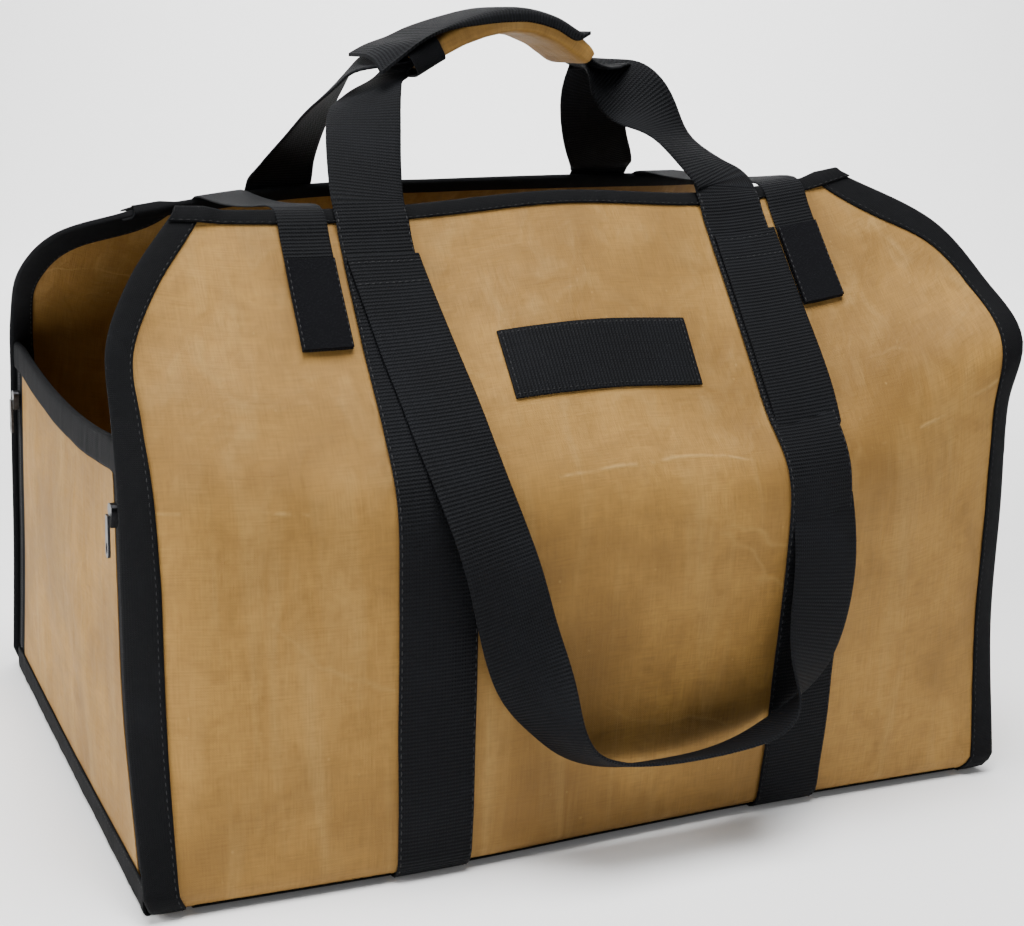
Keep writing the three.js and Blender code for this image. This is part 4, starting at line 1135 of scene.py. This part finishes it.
class CARRIER_OT_loops(Operator):
    """Sew the ends of the hanging loops over the wall straps and let the loops hang"""

    bl_idname = "carrier.loops"
    bl_label = "Hanging loops"

    def execute(self, context):
        lift = CANVAS_HALF + STRAP_THICKNESS + 2 * CLEARANCE
        lines = []
        for wall, facing in WALLS:
            distances = np.arange(LOOP_SEAM, LOOP_LEG_END, ROW_STEP)
            legs = []
            for shifts in (LOOP_LEFT, LOOP_RIGHT):
                side = np.sign(shifts[0])

                def centre(row):
                    share = (min(row, wrap.rows - 1 - row) * ROW_STEP - LOOP_SEAM) / LOOP_LEG
                    return (shifts[0] + (shifts[1] - shifts[0]) * share) * STRAP_CENTRE

                rows = [wrap.row_down(wall, distance) for distance in distances]
                legs.append(laid_rows(rows, centre, *WEBBING, side, lift))
            climb, fall = legs[0], legs[1][::-1]
            centres = [row_middle(climb[-2]), row_middle(climb[-1])]
            for along, out, down, _ in LOOP_HANG:
                depth = facing * (HALF_DEPTH + out * LOOP_STAND_OFF)
                height = FOLD_HEIGHT - down * LOOP_HANG_DEPTH
                centres.append(np.array([along * STRAP_CENTRE, depth, height]))
            centres += [row_middle(fall[0]), row_middle(fall[1])]
            across = [(f[0], -facing * f[1], f[2]) for *_, f in LOOP_HANG]
            across = [(1, 0, 0)] * 2 + across + [(-1, 0, 0)] * 2
            between = slice(CURVE_STEPS + 2, -CURVE_STEPS - 2)
            curve = spline(centres, CURVE_STEPS)[between]
            turns = spline(across, CURVE_STEPS, even=True)[between]
            free = free_rows(curve, turns, facing, *WEBBING)
            every = soften(climb + free + fall, len(climb) - 6, len(climb) + len(free) + 6, 14)
            strip(f"loop_{wall}", every, f"hanging_loop_{wall}")
            for part in (every[:6], every[-6:]):
                for k in (1, 4):
                    high = part[k][1][1:-1] if part[0] is every[0] else part[-1 - k][1][1:-1]
                    normal = unit(np.cross(high[-1] - high[0], part[0][1][5] - part[-1][1][5]))
                    normal = np.repeat(normal[None], len(high), 0)
                    lines.append((high, normal * (1 if normal[0][1] * facing > 0 else -1)))
        stitches("loop_stitches", lines, "webbing", pitch=3.4, length=2.5)
        return {"FINISHED"}


def oblong(half_width, half_height, degrees):
    """Points on a rounded oblong, across and up."""
    angle = np.radians(degrees)

    def stretch(value):
        return np.sign(value) * np.abs(value) ** 0.4

    return np.stack([half_width * stretch(np.cos(angle)), half_height * stretch(np.sin(angle))], -1)


def grip_section(centre, up, section, lift=0.0):
    """A section of across and up places, set on one frame of the grip."""
    made = centre + np.outer(section[:, 1] + lift, up)
    made[:, 1] = section[:, 0]
    return made


CORNER_SHARE = 0.5**0.2
PAD_END = 0.94
CUFF_END = 0.13
SLEEVE_WIDTH = (19 + CLEARANCE) / CORNER_SHARE
SLEEVE_HEIGHT = (STRAP_THICKNESS + 1.5 * CLEARANCE) / CORNER_SHARE


class CARRIER_OT_grip(Operator):
    """Pad the grip with canvas, and add its cuff and the flap over it"""

    bl_idname = "carrier.grip"
    bl_label = "Padded grip"

    def execute(self, context):
        crown = millimetres(context.scene.carrier_sizes.pad_crown)
        centres, ups = grip_frames(8)
        share = np.linspace(0, 1, len(centres))
        angles = np.arange(112, 429, 7.9)
        low, high = [], []
        for centre, up, s in zip(centres, ups, share):
            if s > PAD_END:
                continue
            swell = crown * (1 - abs(2 * s / PAD_END - 1) ** 4)
            inner = oblong(SLEEVE_WIDTH, SLEEVE_HEIGHT, angles)
            full = np.clip(min(s, PAD_END - s) / 0.05, 0, 1) ** 0.5
            outer = oblong(SLEEVE_WIDTH + 1 + 1.6 * full, SLEEVE_HEIGHT + 0.8 + 1.4 * full + swell, angles)
            wrinkle = np.array([noise.noise(Vector((s * 16, a / 60, 2.0))) for a in angles])
            outer = outer + unit(outer) * 0.55 * wrinkle[:, None]
            low.append(grip_section(centre, up, inner))
            high.append(grip_section(centre, up, outer))
        low, high = np.stack(low), np.stack(high)
        pad = slab("grip_sleeve", low, high, place_on_cloth(high), finish_named("ochre_canvas"))
        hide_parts("grip_pad")

        angles = np.arange(98, 443, 8)
        frames = [(c, u) for c, u, s in zip(centres, ups, share) if s < CUFF_END]
        frames.insert(0, (centres[0] + unit(centres[0] - centres[1]) * 2.5, ups[0]))
        sizes = ((3.4, 3.6), (4.6, 4.8))
        shapes = [oblong(SLEEVE_WIDTH + wide, SLEEVE_HEIGHT + tall, angles) for wide, tall in sizes]
        low, high = (np.stack([grip_section(c, u, shape) for c, u in frames]) for shape in shapes)
        band = slab("grip_cuff_tape", low, high, place_on_cloth(high), finish_named("binding_tape"))
        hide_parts("grip_cuff")

        self.flap(centres, ups, share)
        return {"FINISHED"}

    def flap(self, centres, ups, share):
        """Webbing flap: flat beyond the pad's ends, over its shoulders between them."""
        angles = np.linspace(180, 0, 25)
        last = len(GRIP_ARCH) - 1
        drops = np.interp(share * last, range(last + 1), [drop for *_, drop in GRIP_ARCH])

        def section(lift, drop):
            shape = oblong(SLEEVE_WIDTH + 3 + lift, SLEEVE_HEIGHT + 3 + lift, angles)
            top = SLEEVE_HEIGHT + 3 + lift
            fall = np.minimum((top - shape[:, 1]) * drop, 7)
            return np.stack([shape[:, 0], top - fall], -1)

        def end_row(along, up, hang, lift):
            flat = section(CLEARANCE, 0)
            near = np.clip(-flat[:, 0] / SLEEVE_WIDTH, 0, 1)
            flat[:, 1] = -hang * near**2
            return grip_section(arch_point(along, up), np.array([0, 0, 1.0]), flat, lift)

        rows = []
        for lift, base in ((0, CLEARANCE), (STRAP_THICKNESS, CLEARANCE + STRAP_THICKNESS)):
            middle = []
            for s in (0.07, 0.18, 0.3, 0.42, 0.54, 0.66, 0.78):
                k = int(np.argmin(abs(share - s)))
                over = 1.7 * np.clip((CUFF_END + 0.12 - s) / 0.1, 0, 1)
                middle.append(grip_section(centres[k], ups[k], section(base + over, drops[k])))
            ends = [end_row(*place, lift) for place in FLAP_LEFT]
            tips = [end_row(*place, lift) for place in FLAP_RIGHT]
            rows.append(spline(np.stack(ends + middle + tips), 8))
        low, high = rows
        thing = slab("grip_flap_cloth", low, high, place_on_cloth(high), finish_named("ribbed_webbing"))
        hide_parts("grip_flap")


CLOSURE_CENTRE = STRAP_CENTRE + 36
CLOSURE_WIDTH = 25.0
CLOSURE_THICKNESS = 1.6
CLOSURE_SAG = 16
# Distances below the rims: back seam, front end and the top of the hook patch
CLOSURE_BACK, CLOSURE_FRONT, HOOK_FROM = 52, 77, 26
HOOK_THICKNESS = 1.2


class CARRIER_OT_closures(Operator):
    """Lead the closure straps over the opening and sew on their hook ends"""

    bl_idname = "carrier.closures"
    bl_label = "Closure straps"

    def execute(self, context):
        lines = []
        for side_name, side in SIDES:
            centre = side * CLOSURE_CENTRE
            back = [wrap.row_down("back", d) for d in np.arange(CLOSURE_BACK, -1, -ROW_STEP)]
            front = [wrap.row_down("front", d) for d in np.arange(0, CLOSURE_FRONT, ROW_STEP)]
            size = (CLOSURE_WIDTH, CLOSURE_THICKNESS)
            from_rows = laid_rows(back, centre, *size, -side, strap_lift)
            to_rows = laid_rows(front, centre, *size, -side, strap_lift)
            start, end = (np.stack(row) for row in (from_rows[-1], to_rows[0]))
            ahead = unit(start - np.stack(from_rows[-2])) * 3
            behind = unit(end - np.stack(to_rows[1])) * 3
            span = []
            for share in np.linspace(0, 1, 19):
                row = (start + ahead) * (1 - share) + (end + behind) * share
                row[..., 2] -= CLOSURE_SAG * share * (1 - share)
                span.append((row[0], row[1]))
            every = soften(from_rows + span + to_rows, len(back) - 2, len(back) + len(span) + 2, 5)
            strip(f"closure_{side_name}", every, f"closure_strap_{side_name}")
            patch = [row for row in front if row * ROW_STEP >= HOOK_FROM]
            lift = CANVAS_HALF + 2 * CLEARANCE + CLOSURE_THICKNESS
            rows = laid_rows(patch, centre, CLOSURE_WIDTH, HOOK_THICKNESS, -side, lift)
            strip(f"hook_end_{side_name}", rows, f"hook_patch_{side_name}", "hook_tape")
            for index in (2, -3):
                high = np.stack([row[1][index] for row in rows])
                lines.append((high, unit(high - np.stack([row[0][index] for row in rows]))))
            for row in (from_rows[1], from_rows[4]):
                lines.append((row[1][1:-1], unit(row[1][1:-1] - row[0][1:-1])))
        stitches("closure_stitches", lines, "webbing", pitch=3.4, length=2.4)
        return {"FINISHED"}


PATCH_HALF = 53
# Distances below the rim where the patch starts and ends
PATCH_FROM, PATCH_TO = 76, 114.5


class CARRIER_OT_patch(Operator):
    """Sew the blank webbing patch to the front slope"""

    bl_idname = "carrier.patch"
    bl_label = "Front patch"

    def execute(self, context):
        rows = [wrap.row_down("front", d) for d in np.arange(PATCH_FROM, PATCH_TO, 2)]
        places = np.linspace(-PATCH_HALF, PATCH_HALF, 54)
        edge = np.clip((PATCH_HALF - np.abs(places)) / 1.2, 0, 1)
        low, high = [], []
        for k, row in enumerate(rows):
            columns = wrap.column_at(row, places)
            hem = min(k, len(rows) - 1 - k)
            rise = (0.75 + 0.25 * edge) * (0.75 if hem == 0 else 1.0)
            low.append(wrap.at(row, columns, CANVAS_HALF + CLEARANCE))
            high.append(wrap.at(row, columns, CANVAS_HALF + CLEARANCE + 1.4 * rise))
        low, high = np.stack(low), np.stack(high)
        cloth = place_on_cloth(high)[..., ::-1]
        thing = slab("blank_patch", low, high, cloth, finish_named("ribbed_webbing"))
        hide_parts("front_patch")
        up = unit(high - low)
        border = [(high[1], up[1]), (high[-2], up[-2]), (high[:, 1], up[:, 1]), (high[:, -2], up[:, -2])]
        stitches("patch_stitches", border, "webbing", pitch=3.2, length=2.2, radius=0.28)
        return {"FINISHED"}


ZIP_TAPE = 19.0
PANEL_INSET = ZIP_TAPE + CLEARANCE
PANEL_FOOT = TAPE_THICKNESS + CLEARANCE
# The end panels take their blotches from another stretch of cloth than the wrap
ELSEWHERE = 2000
ZIP_FOOT = TAPE_THICKNESS + BINDING_WIDTH + 2 * CLEARANCE
ZIP_TOP = PANEL_HEIGHT - BINDING_WIDTH - CLEARANCE
COIL_PITCH = 0.8


class EndPanel:
    """Places on one end of the bag."""

    def __init__(self, side):
        self.side = side

    def seam(self, wall, height, inset):
        inward = 1 if wall == "front" else -1
        edge = wrap.edge_depth(wall, self.side, np.maximum(height, LEVEL + FOOT_RADIUS))
        return edge + inward * (SEAT + inset)

    def point(self, along, height, inset, lift=0.0):
        along, height = np.broadcast_arrays(np.asarray(along, float), np.asarray(height, float))
        droop = 7.0 * np.minimum(height / (PANEL_HEIGHT - BINDING_WIDTH), 1) ** 2
        bulge = 3.0 * np.sin(math.pi * along) * np.sin(math.pi * np.minimum(height / PANEL_HEIGHT, 1))
        start, end = self.seam("front", height, inset), self.seam("back", height, inset)
        place = np.stack([along, height / 420], -1)
        limp = 2.6 * ripple(place, 0.2, self.side * 2.0) + 1.0 * ripple(place * [1, 2.2], 0.09, 4.0)
        limp = limp * np.clip(np.sin(math.pi * along), 0, 1) ** 0.5
        limp = limp * np.clip((height - BINDING_WIDTH) / 25, 0, 1)
        limp = limp * np.clip((PANEL_HEIGHT - 6 - height) / 25, 0, 1)
        x = self.side * (END_PLANE + bulge + limp + lift)
        return np.stack([x, start + (end - start) * along, height - 4 * droop * along * (1 - along)], -1)


class CARRIER_OT_ends(Operator):
    """Hang the end panels between the walls and bind their scoop and foot"""

    bl_idname = "carrier.ends"
    bl_label = "End panels"

    def execute(self, context):
        pucker = millimetres(context.scene.carrier_sizes.pucker)
        lines = []
        for side_name, side in SIDES:
            panel = EndPanel(side)
            along, height = np.meshgrid(np.linspace(0, 1, 70), np.linspace(PANEL_FOOT, PANEL_HEIGHT, 54))
            lifts = (-CANVAS_HALF, CANVAS_HALF)
            low, high = (panel.point(along, height, PANEL_INSET, lift) for lift in lifts)
            cloth = np.stack([high[..., 1], high[..., 2] + ELSEWHERE], -1)
            sheet = slab(f"end_canvas_{side_name}", low, high, cloth, finish_named("ochre_canvas"))
            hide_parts(f"end_panel_{side_name}")
            for kind, level, turn in (("scoop", PANEL_HEIGHT, -1), ("base", PANEL_FOOT, 1)):
                names = (f"{kind}_tape_{side_name}", f"{kind}_binding_{side_name}")
                made = self.tape(panel, names, level, turn, pucker)
                lines.append(tape_line(made, SEWN[0]))
        stitches("panel_stitches", lines, "edge_binding", **TAPE_STITCH)
        return {"FINISHED"}

    def tape(self, panel, names, level, turn, pucker):
        """Tape over a panel's top or bottom edge, from wall seam to wall seam."""
        corner = 5.0 if turn > 0 else 0.0
        start, end = panel.seam("front", level, corner), panel.seam("back", level, corner)

        def station(share):
            depth = start + (end - start) * share

            def place(inward, lift):
                heights = level + turn * np.asarray(inward)
                inner_start, inner_end = (panel.seam(wall, heights, PANEL_INSET) for wall, _ in WALLS)
                along = (depth - inner_start) / (inner_end - inner_start)
                on_panel = np.clip(heights, 1, PANEL_HEIGHT)
                points = panel.point(np.clip(along, 0, 1), on_panel, PANEL_INSET)
                points[:, 1] = depth
                points[:, 2] += heights - on_panel
                points[:, 0] += panel.side * lift
                return points

            return place

        stations = [station(share) for share in np.linspace(0, 1, 90)]
        return folded_tape(names, stations, BINDING_WIDTH, pucker, level)


def carried(name, node, bevel):
    """A small metal part from its CAD node, with rounded edges."""
    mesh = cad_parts[node].data.copy()
    mesh.materials.clear()
    mesh.materials.append(finish_named("plated_metal"))
    thing = bpy.data.objects.new(name, mesh)
    bpy.context.scene.collection.objects.link(thing)
    rounding = thing.modifiers.new("rounding", "BEVEL")
    rounding.width = bevel * METRE
    rounding.segments = 2
    rounding.limit_method = "ANGLE"
    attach(thing, "root")
    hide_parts(node)


class CARRIER_OT_zips(Operator):
    """Set the zips between the end panels and the walls, with teeth, sliders and pulls"""

    bl_idname = "carrier.zips"
    bl_label = "Zips"

    def execute(self, context):
        for side_name, side in SIDES:
            panel = EndPanel(side)
            for wall, _ in WALLS:
                name = f"{wall}_{side_name}"
                self.tape(panel, wall, name)
                self.teeth(panel, wall, name)
                carried(f"slider_{name}", f"zip_slider_{name}", 0.5)
                carried(f"pull_{name}", f"zip_pull_{name}", 0.25)
        return {"FINISHED"}

    def tape(self, panel, wall, name):
        """Both halves of the zip tape, folded a little at the coil."""
        insets = np.array([-1.2, 2, 4, 6, 6.8, 7.4, 9.5, 11.6, 12.2, 13, 15, 17, 20.2])
        rise = np.array([0, 0.05, 0.1, 0.15, 0.5, 0.15, 0.0, 0.15, 0.5, 0.15, 0.1, 0.05, 0])
        low, high = [], []
        for height in np.linspace(ZIP_FOOT, ZIP_TOP, 60):
            depth = panel.seam(wall, height, insets)
            x = panel.side * (END_PLANE + rise)
            level = np.full(len(insets), height)
            low.append(np.stack([x - panel.side * 0.5, depth, level], -1))
            high.append(np.stack([x + panel.side * 0.5, depth, level], -1))
        low, high = np.stack(low), np.stack(high)
        thing = slab(f"tape_{name}", low, high, place_on_cloth(high), finish_named("binding_tape"))
        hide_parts(f"zip_tape_{name}")

    def teeth(self, panel, wall, name):
        """Coil of a closed zip as a row of rounded turns."""
        points, faces = [], []
        box = slab_faces(2, 3)
        for k, height in enumerate(np.arange(ZIP_FOOT + 1, ZIP_TOP - 1, COIL_PITCH)):
            shift = 0.6 if k % 2 else -0.6
            insets = ZIP_TAPE / 2 + shift + np.array([-1.9, 0, 1.9])
            depth = panel.seam(wall, height, insets)
            x = panel.side * (END_PLANE + 0.5 + np.array([0.25, 0.95, 0.25]))
            for sink in (0.5, 0.0):
                for rise in (-0.3, 0.3):
                    points.append(np.stack([x - panel.side * sink, depth, np.full(3, height + rise)], -1))
            faces.append(box + 12 * k)
        points = np.concatenate(points)
        faces = np.vstack(faces)
        thing = add_mesh(f"coil_{name}", points, faces, points[:, 1:], finish_named("black_thread"), 180.0)


# Soft lights: name, place, what it is aimed at, size, share of the key light's power
BAG_MIDDLE = (0, 0, 0.18)
LIGHTS = [
    ("top_panel", (-0.1, -0.28, 2.4), BAG_MIDDLE, 1.4, 1.0),
    ("left_panel", (-2.3, -0.1, 1.2), BAG_MIDDLE, 1.3, 0.55),
    ("right_panel", (1.9, -1.9, 1.0), BAG_MIDDLE, 1.4, 0.06),
    ("backdrop_panel", (0.6, 1.3, 2.2), (1.6, 3.4, 1.2), 1.6, 1.3),
]
SWEEP_REACH = 16.0
# Camera: place in metres, turn, downward pitch and roll in radians, lens in millimetres
CAMERA_PLACE = (-0.3959, -0.8405, 0.3850)
CAMERA_YAW, CAMERA_PITCH, CAMERA_ROLL = 0.456289, 0.241333, 0.0426347
CAMERA_LENS = 58.16


class CARRIER_OT_stage(Operator):
    """Set the pale floor, the soft lights and the camera"""

    bl_idname = "carrier.stage"
    bl_label = "Studio"

    def execute(self, context):
        self.floor()
        self.lights(context.scene.carrier_sizes.key_light)
        self.camera(context)
        return {"FINISHED"}

    def floor(self):
        """A sweep: floor that rises in a wide curve behind the bag."""
        profile = [(-SWEEP_REACH, 0.0), (2.2, 0.0)]
        bend = np.linspace(0.1, math.pi / 2, 12)
        profile += [(2.2 + 1.5 * math.sin(a), 1.5 - 1.5 * math.cos(a)) for a in bend]
        profile += [(3.7, 5.0)]
        points = [(x, y, z) for y, z in profile for x in (-SWEEP_REACH, SWEEP_REACH)]
        faces = [(2 * k, 2 * k + 1, 2 * k + 3, 2 * k + 2) for k in range(len(profile) - 1)]
        mesh = bpy.data.meshes.new("studio_sweep")
        mesh.from_pydata(points, [], faces)
        mesh.polygons.foreach_set("use_smooth", [True] * len(faces))
        mesh.materials.append(finish_named("studio_paper"))
        sweep = bpy.data.objects.new("studio_sweep", mesh)
        sweep.rotation_euler.z = -math.radians(26)
        bpy.context.scene.collection.objects.link(sweep)

    def lights(self, power):
        world = bpy.data.worlds.new("studio_air")
        world.use_nodes = True
        air = world.node_tree.nodes["Background"].inputs
        air["Color"].default_value = (1, 1, 1, 1)
        air["Strength"].default_value = 0.12
        bpy.context.scene.world = world
        for name, place, aim, size, share in LIGHTS:
            lamp = bpy.data.lights.new(name, "AREA")
            lamp.size = size
            lamp.energy = power * share
            thing = bpy.data.objects.new(name, lamp)
            thing.location = place
            thing.rotation_euler = (Vector(aim) - Vector(place)).to_track_quat("-Z", "Y").to_euler()
            bpy.context.scene.collection.objects.link(thing)

    def camera(self, context):
        yaw, pitch, roll = CAMERA_YAW, CAMERA_PITCH, CAMERA_ROLL
        level = math.cos(pitch)
        ahead = Vector((math.sin(yaw) * level, math.cos(yaw) * level, -math.sin(pitch)))
        right = Vector((math.cos(yaw), -math.sin(yaw), 0))
        up = right.cross(ahead)
        tilted_right = math.cos(roll) * right + math.sin(roll) * up
        tilted_up = math.cos(roll) * up - math.sin(roll) * right
        lens = bpy.data.cameras.new("camera")
        lens.sensor_fit = "HORIZONTAL"
        lens.sensor_width = 36.0
        lens.lens = CAMERA_LENS
        thing = bpy.data.objects.new("camera", lens)
        turn = Matrix((tilted_right, tilted_up, -ahead)).transposed().to_4x4()
        thing.matrix_world = Matrix.Translation(CAMERA_PLACE) @ turn
        bpy.context.scene.collection.objects.link(thing)
        context.scene.camera = thing


class CARRIER_PT_pieces(Panel):
    """Pieces and finishes of the carrier"""

    bl_idname = "CARRIER_PT_pieces"
    bl_label = "Log carrier"
    bl_space_type = "VIEW_3D"
    bl_region_type = "UI"
    bl_category = "Carrier"

    def draw(self, context):
        for piece in PIECES:
            self.layout.operator(piece.bl_idname)
        for group in (context.scene.carrier_finish, context.scene.carrier_sizes):
            for name in group.__annotations__:
                self.layout.prop(group, name)


PIECES = [
    CARRIER_OT_canvas,
    CARRIER_OT_bindings,
    CARRIER_OT_webbing,
    CARRIER_OT_loops,
    CARRIER_OT_grip,
    CARRIER_OT_closures,
    CARRIER_OT_patch,
    CARRIER_OT_ends,
    CARRIER_OT_zips,
    CARRIER_OT_stage,
]
CLASSES = [CarrierFinish, CarrierSizes, *PIECES, CARRIER_PT_pieces]


def register():
    for item in CLASSES:
        bpy.utils.register_class(item)
    bpy.types.Scene.carrier_finish = PointerProperty(type=CarrierFinish)
    bpy.types.Scene.carrier_sizes = PointerProperty(type=CarrierSizes)


def unregister():
    del bpy.types.Scene.carrier_sizes
    del bpy.types.Scene.carrier_finish
    for item in reversed(CLASSES):
        bpy.utils.unregister_class(item)


def main():
    register()
    for piece in PIECES:
        group, name = piece.bl_idname.split(".")
        getattr(getattr(bpy.ops, group), name)()


if __name__ == "__main__":
    main()
